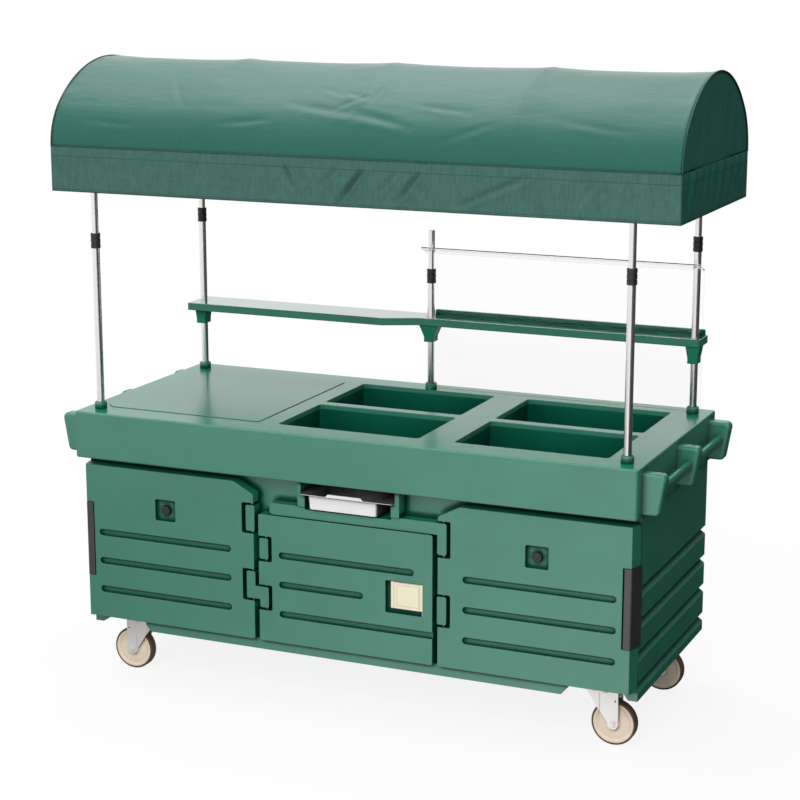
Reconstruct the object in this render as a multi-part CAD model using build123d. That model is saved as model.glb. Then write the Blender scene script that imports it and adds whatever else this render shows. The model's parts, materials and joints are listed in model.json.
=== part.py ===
from build123d import *
import os

os.makedirs("parts", exist_ok=True)

# Frame: millimetres, origin on the floor under the middle of the cart.
# +X right seen from the door side, -Y the door side, +Z up.

# Cabinet body
BODY_X = 976.0          # half length over the end walls
FRONT = -358.0          # plane that the doors close on
REAR = 400.0            # rear face
FLOOR_Z = 226.0         # underside over the casters
SKIRT_Z = 187.0         # underside of the skirts
BODY_TOP = 788.0        # the counter rests here
END_WALL = 40.0
REAR_WALL = 40.0
BASE_T = 36.0
SKIRT_FRONT = -390.0
SKIRT_X = 757.0
SKIRT_CHAMFER = 20.0
END_SKIRT = 31.0
END_CHAMFER = 27.0
BODY_R = 14.0
GROOVE_Z = (540.0, 437.0, 334.0, 231.0)
GROOVE_H = 36.0
GROOVE_D = 15.0
BAY_TOP = 712.0         # ceiling of the two outer bays
BAY_IN = 385.0          # inner side of the two outer bays
MID_L = -246.0
MID_R = 285.0
MID_TOP = 640.0
POST_STEP = 6.0

# Doors
DOOR_FRONT = -411.0
GASKET_T = 4.0
DOOR_BOTTOM = 226.0
DOOR_TOP = 760.0
DOOR_EDGE = 327.0       # hinge-side edge of an outer door
DOOR_DRAFT = 13.0       # how far the outer side leans in at the front
DOOR_SHOULDER = (400.0, 722.0)
DOOR_EDGE_R = 3.0
HINGE_X = 340.0
MID_HINGE_X = -291.0
HINGE_Y = -390.0
LUG_HALF = 16.0
NOTCH = 30.0            # hinge axis to the inner wall of a notch
NOTCH_GAP = 8.0
PIN_R = 4.0
PIN_REACH = 14.0
BORE_GAP = 0.08
LUG_FRONT = -409.0
BAR_Z = (661.5, 700.5)
BAR_X = HINGE_X + LUG_HALF
BAR_END_Z = 596.0
BAR_LEFT = -268.0
LUG_A = (BAR_END_Z, 684.0)
LUG_C = (366.0, 459.0)
LUG_B = (506.0, 577.0)
LUG_D = (339.0, 410.0)
MID_EDGE = 309.0
MID_DOOR_TOP = 658.6
RIB_Z = (526.0, 426.0, 325.0)
RIB_X = (412.0, BODY_X - 59)
RIB_H = 23.0
RIB_D = 8.0
MID_RIBS = ((-235.0, 245.0), (-235.0, 67.0), (-235.0, 309.0))
HINGE_BACK_R = 10.0

# Vents
VENT_X = 658.0
VENT_Z = 629.0
VENT_W = 76.0
VENT_H = 73.0
VENT_D = 12.0
KNOB_R = 16.0
KNOB_H = 12.6
SPINDLE_R = 5.0
SPINDLE_L = 16.0

# Edge latches
LATCH_Z = (371.0, 628.0)
LATCH_W = 25.0
LATCH_GAP = 1.5
LATCH_T = 8.0
LATCH_BACK = -352.0
LATCH_PIVOT = (BODY_X - 25, DOOR_FRONT + 8)
LATCH_CLEAR = 15.4      # pivot to the inner wall of its pocket
LATCH_KNEE = (15.0, 31.0)   # where its section bends, behind the door's front
LATCH_PIN_R = 2.5
LATCH_PIN_L = 10.0

# Paddle latch
PADDLE_X = (166.0, 276.0)
PADDLE_Z = (401.0, 489.0)
WELL_X = (146.0, 276.0)
WELL_Z = (383.0, 491.0)
WELL_D = 16.0
PADDLE_T = 4.0
PADDLE_PIN_R = 1.2

# Tray and its housing
HOUSING_X = (-165.0, 194.0)
SLOT_X = (-139.0, 165.0)
SLOT_Z = (692.0, 784.0)
SLOT_BACK = -170.0
RUNNER_Z = 742.0
RUNNER_T = 3.0
TRAY_X = (-150.0, 176.0)
TRAY_Y = (-425.0, -249.0)
TRAY_WALL = 1.5
TRAY_SIDE = (25.0, 57.0)    # flange width at the left and right
TRAY_LIP = 8.0          # flange width at the front and back
TRAY_DEPTH = 48.0
TRAY_R = 9.0
TRAY_DRAFT = 3.0
TRAY_RIM = 9.0
TRAY_RIM_W = 134.0
TRAY_RIM_X = 8.0
LEDGE = 14.0

# Counter
COUNTER_X = BODY_X + 9
COUNTER_Y = 438.0
COUNTER_TOP = 947.0
COUNTER_R = 12.0
DECK_T = 16.0
POCKET_Y = (-340.0, 346.0)
WELL_ROWS = ((-334.0, -16.0), (24.0, 341.0))
WELL_PAIRS = ((-272.0, 228.0), (349.0, 858.0))
POCKET_X = WELL_PAIRS[1][1] + 27
WELL_R = 12.0
LINER_T = 4.0
LINER_FLOOR = 5.0
LINER_LIP = 6.0
PANEL_X = (60 - COUNTER_X, -340.0)
PANEL_Y = (-334.0, 334.0)
PANEL_T = 8.0
PANEL_SEAT = 6.0
PANEL_GAP = 1.5
PANEL_CUT = 24.0

# Push handles on the counter's ends
HANDLE_Y = (0.0, 373.0)
HANDLE_W = 46.0
HANDLE_TOP = 927.0
HANDLE_BOTTOM = 797.0
HANDLE_OUT = (COUNTER_X + 75, COUNTER_X + 53)
HANDLE_R = 10.0
GRIP_Z = (848.0, 882.0)
GRIP_X = (COUNTER_X + 23, COUNTER_X + 51)

# Poles
POLE_X = COUNTER_X - 59.5
POLE_Y = 362.0
MID_POLE_X = -21.0
POLE_R = 12.7
POLE_WALL = 1.5
UPPER_WALL = 1.3
SLIDE_GAP = 0.1
POLE_BASE = 800.0
COLLAR_Z = 1516.0
MID_COLLAR_Z = 1349.0
COLLAR_R = 16.0
COLLAR_H = 50.0
FERRULE_R = 20.5
FERRULE_H = 23.0
UPPER_BASE = 1230.0
MID_UPPER_BASE = 1090.0
MID_POLE_TOP = 1510.0

# Shelf, brackets and guard
SHELF_TOP = 1202.0
SHELF_T = 26.0
SHELF_X = POLE_X + 24.5
SHELF_FRONT = 334.0
SHELF_DEEP = 280.0
SHELF_BEND = (-176.0, -60.0)
SHELF_BEND_R = 14.0
LIP_X = (-33.0, SHELF_X - 9)
LIP_T = 9.0
LIP_H = 18.0
BRACKET_W = 34.0
BRACKET_Z = (1119.0, 1137.0)
BRACKET_Y = (336.0, 380.0)
BRACKET_TOP = 35.0      # half width under the shelf
GUARD_Y = 386.0
GUARD_T = 4.0
GUARD_X = (-45.0, SHELF_X - 5)
GUARD_BEND_Z = 1423.5
GUARD_TIP = (324.0, 1452.0)
GUARD_SEAT = 3.0
GUARD_GAP = 0.3

# Canopy
CANOPY_X = POLE_X + 149
CANOPY_Y = 379.0
VALANCE_Z = 1676.5
SPRING_Z = 1824.5
PEAK_Z = 2101.0
SIDE_R = 200.0
CLOTH_T = 3.0
FRAME_GAP = 0.4
TUBE_R = 8.0
TUBE_WALL = 1.5
RAIL_Z = 1812.0
HOOP_X = 537.0
PLEATS = 12
PLEAT_D = 7.0

# Casters
SWIVEL_X = BODY_X - 142
SWIVEL_Y = 265.0
TRAIL = 42.0
WHEEL_R = 73.5
WHEEL_W = 32.0
TREAD = 7.0
PLATE_Z = 206.0
PLATE_T = 5.0
PLATE_W = 104.0
PLATE_L = 110.0
RACE_H = 18.0
RACE_R = 38.0
CROWN_T = 6.0
LEG_T = 4.0
LEG_W = 36.0
LEG_GAP = 3.5
LEG_PROUD = 4.0         # how far the two strips stand out of a leg
STRIP_X = (-19.0, -3.0)
SLANT_X = -46.0
AXLE_R = 6.0
HUB_R = 22.0
TOUCH = 0.3


def box(x0, x1, y0, y1, z0, z1):
    return Pos((x0 + x1) / 2, (y0 + y1) / 2, (z0 + z1) / 2) * Box(x1 - x0, y1 - y0, z1 - z0)


def rod(x, y, z0, z1, r):
    return Pos(x, y, (z0 + z1) / 2) * Cylinder(r, z1 - z0)


def outline(*corners):
    """A flat face through the corners; a third number rounds that corner."""
    face = make_face(Polyline(*[(c[0], c[1]) for c in corners], close=True))
    for c in corners:
        if len(c) > 2:
            near = face.vertices().sort_by_distance((c[0], c[1], 0))[0]
            face = fillet(near, c[2])
    return face


def rect(x0, x1, z0, z1, r=0.0):
    shape = RectangleRounded(x1 - x0, z1 - z0, r) if r else Rectangle(x1 - x0, z1 - z0)
    return Pos((x0 + x1) / 2, (z0 + z1) / 2) * shape


def slot(x0, x1, z, h):
    return Pos((x0 + x1) / 2, z) * SlotOverall(x1 - x0, h)


def along_x(face, x0, x1):
    return extrude(Plane.YZ.offset(x0) * face, amount=x1 - x0)


def along_y(face, y0, y1):
    return extrude(Plane.XZ.offset(-y1) * face, amount=y1 - y0)


def along_z(face, z0, z1):
    return extrude(Plane.XY.offset(z0) * face, amount=z1 - z0)


def other_side(shape):
    return mirror(shape, about=Plane.YZ)


def edges_at(shape, y):
    return shape.edges().filter_by_position(Axis.Y, y - 0.01, y + 0.01)


POLES = ((-POLE_X, -POLE_Y), (POLE_X, -POLE_Y), (-POLE_X, POLE_Y), (POLE_X, POLE_Y))
REAR_POLES = ((-POLE_X, POLE_Y), (MID_POLE_X, POLE_Y), (POLE_X, POLE_Y))
UPPER_R = POLE_R - POLE_WALL - SLIDE_GAP
POLE_BORE = POLE_R + SLIDE_GAP
DOOR_BACK = FRONT - GASKET_T
FLANGE_Z = RUNNER_Z + RUNNER_T

nodes = {}

# Cabinet body: one profile for the base with its skirts, then the front frame
base = outline(
    (-BODY_X, SKIRT_Z), (-BODY_X + END_SKIRT, SKIRT_Z), (-BODY_X + END_SKIRT + END_CHAMFER, FLOOR_Z),
    (-SKIRT_X, FLOOR_Z), (-SKIRT_X, FLOOR_Z - 16), (-SKIRT_X + SKIRT_CHAMFER, SKIRT_Z),
    (SKIRT_X - SKIRT_CHAMFER, SKIRT_Z), (SKIRT_X, FLOOR_Z - 16), (SKIRT_X, FLOOR_Z),
    (BODY_X - END_SKIRT - END_CHAMFER, FLOOR_Z), (BODY_X - END_SKIRT, SKIRT_Z), (BODY_X, SKIRT_Z),
    (BODY_X, BODY_TOP), (-BODY_X, BODY_TOP))
body = along_y(base, FRONT, REAR)
rear_corners = body.edges().filter_by(Axis.Z).filter_by_position(Axis.Y, REAR - 0.01, REAR + 0.01)
body = fillet([e for e in rear_corners if e.length > 300], BODY_R)
sill = outline(
    (-SKIRT_X, FLOOR_Z), (-SKIRT_X, FLOOR_Z - 16), (-SKIRT_X + SKIRT_CHAMFER, SKIRT_Z),
    (SKIRT_X - SKIRT_CHAMFER, SKIRT_Z), (SKIRT_X, FLOOR_Z - 16), (SKIRT_X, FLOOR_Z))
body += along_y(sill, SKIRT_FRONT, FRONT)
bar = outline(
    (BAR_LEFT, BAR_Z[0], 12), (BAR_X - 2 * LUG_HALF, BAR_Z[0]), (BAR_X - 2 * LUG_HALF, BAR_END_Z, 8),
    (BAR_X, BAR_END_Z, 8), (BAR_X, BAR_Z[1], 8), (BAR_LEFT, BAR_Z[1], 10))
front_frame = along_y(bar, LUG_FRONT, FRONT)
lug_a = rect(-HINGE_X - LUG_HALF, -HINGE_X + LUG_HALF, *LUG_A, 6)
front_frame += along_y(lug_a, LUG_FRONT, FRONT)
lug_c = rect(-HINGE_X - LUG_HALF, -HINGE_X + LUG_HALF, *LUG_C, 6)
front_frame += along_y(lug_c, LUG_FRONT, FRONT)
front_frame += other_side(along_y(lug_c, LUG_FRONT, FRONT))
for low, high in (LUG_B, LUG_D):
    lug = rect(MID_HINGE_X - LUG_HALF, MID_HINGE_X + LUG_HALF, low, high, 6)
    front_frame += along_y(lug, LUG_FRONT, FRONT)
front_frame += box(-HINGE_X, MID_HINGE_X, LUG_FRONT, FRONT, LUG_C[0], LUG_D[1])
front_frame += along_y(rect(*HOUSING_X, BAR_Z[1], BODY_TOP), DOOR_FRONT, FRONT)
body += front_frame
for x0, x1, top in ((-BODY_X + END_WALL, -BAY_IN, BAY_TOP), (MID_L, MID_R, MID_TOP),
                    (BAY_IN, BODY_X - END_WALL, BAY_TOP)):
    bay = along_y(rect(x0, x1, FLOOR_Z + BASE_T, top, 10), FRONT, REAR - REAR_WALL)
    body -= bay
body -= box(SLOT_X[0], SLOT_X[1], DOOR_FRONT, SLOT_BACK, SLOT_Z[0], SLOT_Z[1])
body -= box(SLOT_X[0] - LEDGE, SLOT_X[1] + LEDGE, DOOR_FRONT, SLOT_BACK, RUNNER_Z, SLOT_Z[1])
for z in GROOVE_Z:
    vee = outline((BODY_X + 1, z + GROOVE_H / 2 + 1), (BODY_X + 1, z - GROOVE_H / 2 - 1),
                  (BODY_X - GROOVE_D, z))
    cut = along_y(vee, FRONT, REAR)
    vee = outline((REAR + 1, z + GROOVE_H / 2 + 1), (REAR + 1, z - GROOVE_H / 2 - 1), (REAR - GROOVE_D, z))
    body -= cut
    body -= other_side(cut)
    body -= along_x(vee, -BODY_X, BODY_X)
for sx in (-1, 1):
    for sy in (-1, 1):
        x = sx * SWIVEL_X
        y = sy * SWIVEL_Y
        body += box(x - PLATE_L / 2, x + PLATE_L / 2, y - PLATE_W / 2, y + PLATE_W / 2, PLATE_Z, FLOOR_Z)
for sx in (-1, 1):
    catch = box(BODY_X - 12, BODY_X + 1, FRONT, LATCH_BACK + 4, LATCH_Z[0] - 2, LATCH_Z[1] + 2)
    body -= catch if sx > 0 else other_side(catch)
lugs = {"left": (LUG_A, LUG_C), "middle": (LUG_B, LUG_D), "right": ((BAR_END_Z, BAR_Z[1]), LUG_C)}
pin_spans = {side: tuple((z[0] - NOTCH_GAP - PIN_REACH, z[1] + NOTCH_GAP + PIN_REACH) for z in spans)
             for side, spans in lugs.items()}
pin_x = {"left": -HINGE_X, "middle": MID_HINGE_X, "right": HINGE_X}
for side, spans in pin_spans.items():
    pins = None
    for low, high in spans:
        pin = rod(pin_x[side], HINGE_Y, low, high, PIN_R)
        body -= rod(pin_x[side], HINGE_Y, low, high, PIN_R + BORE_GAP / 2)
        pins = pin if pins is None else pins + pin
    nodes[side + "_hinge_pins"] = pins
nodes["cabinet_body"] = body

# Tray runners
runners = box(SLOT_X[0] - LEDGE, SLOT_X[0], DOOR_FRONT + 6, SLOT_BACK, RUNNER_Z, FLANGE_Z)
runners += box(SLOT_X[1], SLOT_X[1] + LEDGE, DOOR_FRONT + 6, SLOT_BACK, RUNNER_Z, FLANGE_Z)
nodes["tray_runners"] = runners


# Tray
def tub(gap, top, low):
    x0 = TRAY_X[0] + TRAY_SIDE[0] + gap
    x1 = TRAY_X[1] - TRAY_SIDE[1] - gap
    y0 = TRAY_Y[0] + TRAY_LIP + gap
    y1 = TRAY_Y[1] - TRAY_LIP - gap
    wide = Plane.XY.offset(top) * rect(x0, x1, y0, y1, TRAY_R - gap)
    d = TRAY_DRAFT
    small = Plane.XY.offset(low) * rect(x0 + d, x1 - d, y0 + d, y1 - d, TRAY_R - gap)
    return loft([small, wide])


flange_top = FLANGE_Z + TRAY_WALL
tray = along_z(rect(*TRAY_X, *TRAY_Y, 8), FLANGE_Z, flange_top)
rim = outline((TRAY_RIM_X - TRAY_RIM_W / 2, FLANGE_Z), (TRAY_RIM_X + TRAY_RIM_W / 2, FLANGE_Z),
              (TRAY_RIM_X + TRAY_RIM_W / 2 - TRAY_RIM, flange_top + TRAY_RIM, 3),
              (TRAY_RIM_X - TRAY_RIM_W / 2 + TRAY_RIM, flange_top + TRAY_RIM, 3))
tray += along_y(rim, TRAY_Y[0], TRAY_Y[0] + TRAY_WALL)
tray += tub(0, flange_top, FLANGE_Z - TRAY_DEPTH)
tray -= tub(TRAY_WALL, flange_top, FLANGE_Z - TRAY_DEPTH + TRAY_WALL)
nodes["tray"] = tray


# Doors
def back_round(edge_x, side, top):
    """Take the square corner off the hinge-side back edge, so that it swings clear."""
    r = HINGE_BACK_R
    cx = edge_x - side * r
    corner = rect(min(cx, edge_x + side), max(cx, edge_x + side), DOOR_BACK - r, DOOR_BACK + 1)
    return along_z(corner - Pos(cx, DOOR_BACK - r) * Circle(r), DOOR_BOTTOM - 1, top + 1)


def notch(door, axis_x, side, low, high):
    """Cut the notch round a lug; side is +1 where the door lies at larger x."""
    inner = axis_x + side * NOTCH
    outer = axis_x - side * 60
    cut = rect(min(inner, outer), max(inner, outer), low - NOTCH_GAP, high + NOTCH_GAP, 6)
    return door - along_y(cut, DOOR_FRONT - 1, DOOR_BACK + 1)


def outer_door(side):
    shape = outline((-BODY_X, DOOR_BOTTOM, 6), (-DOOR_EDGE, DOOR_BOTTOM, 6),
                    (-DOOR_EDGE, DOOR_SHOULDER[1], 10),
                    (-DOOR_SHOULDER[0], DOOR_TOP, 25), (-BODY_X, DOOR_TOP, 6))
    door = along_y(shape, DOOR_FRONT, DOOR_BACK)
    lean = outline((-BODY_X - 20, DOOR_FRONT - 5), (-BODY_X + DOOR_DRAFT, DOOR_FRONT - 5),
                   (-BODY_X + DOOR_DRAFT, DOOR_FRONT, 7), (-BODY_X, DOOR_BACK), (-BODY_X - 20, DOOR_BACK))
    door -= along_z(lean, DOOR_BOTTOM - 5, DOOR_TOP + 5)
    for low, high in lugs[side]:
        door = notch(door, -HINGE_X, -1, low, high)
    door -= back_round(-DOOR_EDGE, 1, DOOR_TOP)
    for z in RIB_Z:
        door -= along_y(slot(-RIB_X[1], -RIB_X[0], z, RIB_H), DOOR_FRONT - 1, DOOR_FRONT + RIB_D)
    vent = rect(-VENT_X - VENT_W / 2, -VENT_X + VENT_W / 2, VENT_Z - VENT_H / 2, VENT_Z + VENT_H / 2, 6)
    door -= along_y(vent, DOOR_FRONT - 1, DOOR_FRONT + VENT_D)
    spindle = along_y(Circle(SPINDLE_R + BORE_GAP), DOOR_FRONT, DOOR_FRONT + VENT_D + SPINDLE_L + 1)
    door -= Pos(-VENT_X, 0, VENT_Z) * spindle
    z0 = LATCH_Z[0] - LATCH_GAP
    z1 = LATCH_Z[1] + LATCH_GAP
    door -= box(-BODY_X - 5, -LATCH_PIVOT[0] + LATCH_CLEAR, DOOR_FRONT - 1, DOOR_FRONT + 24, z0, z1)
    door -= box(-BODY_X - 5, -BODY_X + 18, DOOR_FRONT, DOOR_BACK + 1, z0, z1)
    reach = LATCH_PIN_L + 1
    door -= rod(-LATCH_PIVOT[0], LATCH_PIVOT[1], z0 - reach, z1 + reach, LATCH_PIN_R + BORE_GAP)
    for low, high in pin_spans[side]:
        door -= rod(-HINGE_X, HINGE_Y, low, high + 1, PIN_R + BORE_GAP)
    return door


nodes["left_door"] = outer_door("left")
nodes["right_door"] = other_side(outer_door("right"))

shape = outline((-MID_EDGE, DOOR_BOTTOM, 6), (MID_EDGE, DOOR_BOTTOM, 6), (MID_EDGE, MID_DOOR_TOP, 8),
                (-MID_EDGE, MID_DOOR_TOP, 8))
middle = along_y(shape, DOOR_FRONT, DOOR_BACK)
middle = notch(middle, MID_HINGE_X, 1, *LUG_B)
middle = notch(middle, MID_HINGE_X, 1, *LUG_D)
middle -= back_round(-MID_EDGE, -1, MID_DOOR_TOP)
for z, (x0, x1) in zip(RIB_Z, MID_RIBS):
    run_out = x1 >= MID_EDGE
    rib = slot(x0, x1 + (RIB_H if run_out else 0), z, RIB_H)
    middle -= along_y(rib, DOOR_FRONT - 1, DOOR_FRONT + RIB_D)
middle -= along_y(rect(*WELL_X, *WELL_Z, 5), DOOR_FRONT - 1, DOOR_FRONT + WELL_D)
paddle_x = PADDLE_X[1] - PADDLE_T / 2
paddle_y = DOOR_FRONT + PADDLE_T / 2
middle -= rod(paddle_x, paddle_y, WELL_Z[0] - 7, WELL_Z[1] + 7, PADDLE_PIN_R + BORE_GAP / 2)
middle -= rod(paddle_x, paddle_y, WELL_Z[0], WELL_Z[1], PADDLE_T / 2 + 0.3)
for low, high in pin_spans["middle"]:
    middle -= rod(MID_HINGE_X, HINGE_Y, low, high + 1, PIN_R + BORE_GAP)
nodes["middle_door"] = middle


# Gaskets on the backs of the doors
def gasket(x0, x1, z1):
    z0 = FLOOR_Z + BASE_T
    ring = rect(x0 - 12, x1 + 12, z0 - 12, z1 + 12, 18) - rect(x0, x1, z0, z1, 8)
    return along_y(ring, DOOR_BACK, FRONT)


nodes["left_gasket"] = gasket(-BODY_X + END_WALL, -BAY_IN, BAY_TOP)
nodes["middle_gasket"] = gasket(MID_L, MID_R, MID_TOP)
nodes["right_gasket"] = gasket(BAY_IN, BODY_X - END_WALL, BAY_TOP)


# Edge latches
def edge_latch():
    z0, z1 = LATCH_Z
    slope = DOOR_DRAFT / (DOOR_BACK - DOOR_FRONT)
    front = DOOR_FRONT - 1
    heel = front + LATCH_KNEE[0]
    knee = DOOR_FRONT + LATCH_KNEE[1]
    side = -BODY_X + DOOR_DRAFT - 2
    x_front = side - slope * (front - DOOR_FRONT)
    x_knee = side - slope * (knee - DOOR_FRONT)
    x_back = side - slope * (LATCH_BACK - DOOR_FRONT)
    inner = -LATCH_PIVOT[0] + LATCH_W / 2 - 1
    section = outline(
        (inner, front, 3), (x_front, front, 7), (x_back, LATCH_BACK, 2),
        (x_back + LATCH_T, LATCH_BACK, 2), (x_knee + LATCH_T, knee, 4),
        (-LATCH_PIVOT[0] - 4, heel, 3), (-LATCH_PIVOT[0] + 4, heel, 3), (inner, front + LATCH_T, 2))
    latch = along_z(section, z0, z1)
    reach = LATCH_GAP + LATCH_PIN_L
    latch += rod(-LATCH_PIVOT[0], LATCH_PIVOT[1], z0 - reach, z1 + reach, LATCH_PIN_R)
    return latch


left_latch = edge_latch()
nodes["left_latch"] = left_latch
nodes["right_latch"] = other_side(left_latch)


# Vent knobs
def vent_knob():
    y0 = DOOR_FRONT + VENT_D
    cap = Pos(0, 0, 0) * along_y(Circle(KNOB_R), y0 - KNOB_H, y0)
    rim_edges = edges_at(cap, y0 - KNOB_H)
    cap = fillet(rim_edges, 3)
    for i in range(12):
        flute = Pos(KNOB_R + 1.2, 0) * Circle(2.2)
        cap -= along_y(Rot(0, 0, i * 30) * flute, y0 - KNOB_H - 1, y0 - 3)
    cap += along_y(Circle(SPINDLE_R), y0, y0 + SPINDLE_L)
    return cap


knob = vent_knob()
nodes["left_vent_knob"] = Pos(-VENT_X, 0, VENT_Z) * knob
nodes["right_vent_knob"] = Pos(VENT_X, 0, VENT_Z) * knob

# Paddle latch
paddle = box(PADDLE_X[0], paddle_x, DOOR_FRONT, DOOR_FRONT + PADDLE_T, *PADDLE_Z)
paddle += rod(paddle_x, paddle_y, PADDLE_Z[0], PADDLE_Z[1], PADDLE_T / 2)
paddle += rod(paddle_x, paddle_y, WELL_Z[0] - 6, WELL_Z[1] + 6, PADDLE_PIN_R)
frame_line = rect(PADDLE_X[0] + 20, PADDLE_X[1] - 14, PADDLE_Z[0] + 9, PADDLE_Z[1] - 9)
frame_line -= rect(PADDLE_X[0] + 21, PADDLE_X[1] - 15, PADDLE_Z[0] + 10, PADDLE_Z[1] - 10)
paddle -= along_y(frame_line, DOOR_FRONT - 1, DOOR_FRONT + 0.5)
nodes["paddle_latch"] = paddle

# Counter top with its wells, pole bores and push handles
deck = box(-COUNTER_X, COUNTER_X, -COUNTER_Y, COUNTER_Y, BODY_TOP, COUNTER_TOP)
deck = fillet(deck.edges().filter_by(Axis.Z), COUNTER_R)
deck = fillet(deck.faces().sort_by(Axis.Z)[-1].edges(), 6)
deck = fillet(deck.faces().sort_by(Axis.Z)[0].edges(), 5)


def bracket_profile():
    return outline((COUNTER_X - 15, HANDLE_BOTTOM), (HANDLE_OUT[1], HANDLE_BOTTOM, 16),
                   (HANDLE_OUT[0], HANDLE_TOP, 18), (COUNTER_X - 15, HANDLE_TOP))


def end_handles():
    ends = None
    for y in (-HANDLE_Y[1], HANDLE_Y[0], HANDLE_Y[1]):
        block = along_y(bracket_profile(), y - HANDLE_W / 2, y + HANDLE_W / 2)
        rims = [e for e in block.edges() if e.bounding_box().min.X > COUNTER_X - 14
                and e.bounding_box().size.Y < 0.01]
        block = fillet(rims, HANDLE_R)
        ends = block if ends is None else ends + block
    grip = outline((GRIP_X[0], GRIP_Z[0], 11), (GRIP_X[1] - 6, GRIP_Z[0], 10), (GRIP_X[1], GRIP_Z[1], 13),
                   (GRIP_X[0], GRIP_Z[1], 12))
    for y0, y1 in ((-HANDLE_Y[1], HANDLE_Y[0]), (HANDLE_Y[0], HANDLE_Y[1])):
        ends += along_y(grip, y0, y1)
    return ends


handles = end_handles()
deck += handles
deck += other_side(handles)
deck -= box(-POCKET_X, POCKET_X, POCKET_Y[0], POCKET_Y[1], BODY_TOP, COUNTER_TOP - DECK_T)
for y0, y1 in WELL_ROWS:
    for x0, x1 in WELL_PAIRS:
        deck -= along_z(rect(x0, x1, y0, y1, WELL_R), COUNTER_TOP - DECK_T, COUNTER_TOP)


def panel_shape(gap):
    x0 = PANEL_X[0] + gap
    x1 = PANEL_X[1] - gap
    y0 = PANEL_Y[0] + gap
    y1 = PANEL_Y[1] - gap
    return outline((x0 + PANEL_CUT, y0), (x1, y0, 12 - gap), (x1, y1, 12 - gap), (x0, y1, 12 - gap),
                   (x0, y0 + PANEL_CUT))


deck -= along_z(panel_shape(0), COUNTER_TOP - PANEL_SEAT, COUNTER_TOP)
for x, y in POLES + ((MID_POLE_X, POLE_Y),):
    deck -= rod(x, y, POLE_BASE, COUNTER_TOP, POLE_BORE)
deck -= box(GUARD_X[0] - GUARD_GAP, GUARD_X[1] + GUARD_GAP, GUARD_Y - GUARD_T / 2 - GUARD_GAP,
            GUARD_Y + GUARD_T / 2 + GUARD_GAP, COUNTER_TOP - GUARD_SEAT, COUNTER_TOP)
nodes["counter_top"] = deck
panel = along_z(panel_shape(PANEL_GAP), COUNTER_TOP - PANEL_SEAT, COUNTER_TOP - PANEL_SEAT + PANEL_T)
nodes["counter_panel"] = fillet(panel.faces().sort_by(Axis.Z)[-1].edges(), 1.5)


# Well liners
def liner(x0, x1):
    top = COUNTER_TOP - DECK_T
    t = LINER_T
    shell = box(x0 - 24, x1 + 24, POCKET_Y[0] + 1, POCKET_Y[1] - 1, top - LINER_LIP, top)
    for y0, y1 in WELL_ROWS:
        shell += along_z(rect(x0 - t, x1 + t, y0 - t, y1 + t, WELL_R + t), BODY_TOP, top)
    for y0, y1 in WELL_ROWS:
        shell -= along_z(rect(x0, x1, y0, y1, WELL_R), BODY_TOP + LINER_FLOOR, top)
    return shell


nodes["left_well_liner"] = liner(*WELL_PAIRS[0])
nodes["right_well_liner"] = liner(*WELL_PAIRS[1])


# Poles
def tube(x, y, z0, z1, r, wall):
    return rod(x, y, z0, z1, r) - rod(x, y, z0, z1, r - wall)


def ferrule(x, y):
    ring = rod(x, y, COUNTER_TOP, COUNTER_TOP + FERRULE_H, FERRULE_R)
    ring = chamfer(ring.faces().sort_by(Axis.Z)[-1].edges(), 3)
    return ring - rod(x, y, COUNTER_TOP, COUNTER_TOP + FERRULE_H, POLE_BORE)


def collar(x, y, z):
    half = COLLAR_H / 2
    ring = rod(x, y, z - half, z + half, COLLAR_R)
    ring = fillet(ring.edges(), 2)
    for dz in (-9, 9):
        band = rod(x, y, z + dz - 2, z + dz + 2, COLLAR_R + 1) - rod(x, y, z + dz - 2, z + dz + 2, COLLAR_R - 1.5)
        ring -= band
    ring -= rod(x, y, z - half, z, POLE_BORE)
    return ring - rod(x, y, z, z + half, UPPER_R + SLIDE_GAP)


names = ("front_left", "front_right", "rear_left", "rear_right")
FITTING_Z = 1782.0
ferrules = None
collars = None
for name, (x, y) in zip(names + ("middle",), POLES + ((MID_POLE_X, POLE_Y),)):
    is_mid = name == "middle"
    top = MID_COLLAR_Z if is_mid else COLLAR_Z
    nodes[name + "_lower_pole"] = tube(x, y, POLE_BASE, top, POLE_R, POLE_WALL)
    collars = collar(x, y, top) if collars is None else collars + collar(x, y, top)
    if is_mid:
        upper = tube(x, y, MID_UPPER_BASE, MID_POLE_TOP - 3, UPPER_R, UPPER_WALL)
        cap = rod(x, y, MID_POLE_TOP - 3, MID_POLE_TOP, UPPER_R)
        upper += fillet(cap.faces().sort_by(Axis.Z)[-1].edges(), 2)
    else:
        upper = tube(x, y, UPPER_BASE, RAIL_Z - TUBE_R - 1, UPPER_R, UPPER_WALL)
    nodes[name + "_upper_pole"] = upper
    ferrules = ferrule(x, y) if ferrules is None else ferrules + ferrule(x, y)
nodes["pole_ferrules"] = ferrules
nodes["pole_collars"] = collars

# Shelf, deeper on the left, with its rear lip
plan = outline(
    (-SHELF_X, SHELF_DEEP, 8), (SHELF_BEND[0], SHELF_DEEP, SHELF_BEND_R),
    (SHELF_BEND[1], SHELF_FRONT, SHELF_BEND_R), (SHELF_X, SHELF_FRONT, 8),
    (SHELF_X, COUNTER_Y, 8), (-SHELF_X, COUNTER_Y, 8))
shelf = along_z(plan, SHELF_TOP - SHELF_T, SHELF_TOP)
shelf = fillet(shelf.faces().sort_by(Axis.Z)[-1].edges(), 3)
lip = box(LIP_X[0], LIP_X[1], COUNTER_Y - LIP_T, COUNTER_Y, SHELF_TOP - 10, SHELF_TOP + LIP_H)
lip = fillet([e for e in lip.edges().filter_by(Axis.Y) if e.center().Z > SHELF_TOP], 7)
shelf += lip
for x, y in REAR_POLES:
    shelf -= rod(x, y, SHELF_TOP - SHELF_T, SHELF_TOP, POLE_BORE)
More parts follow.
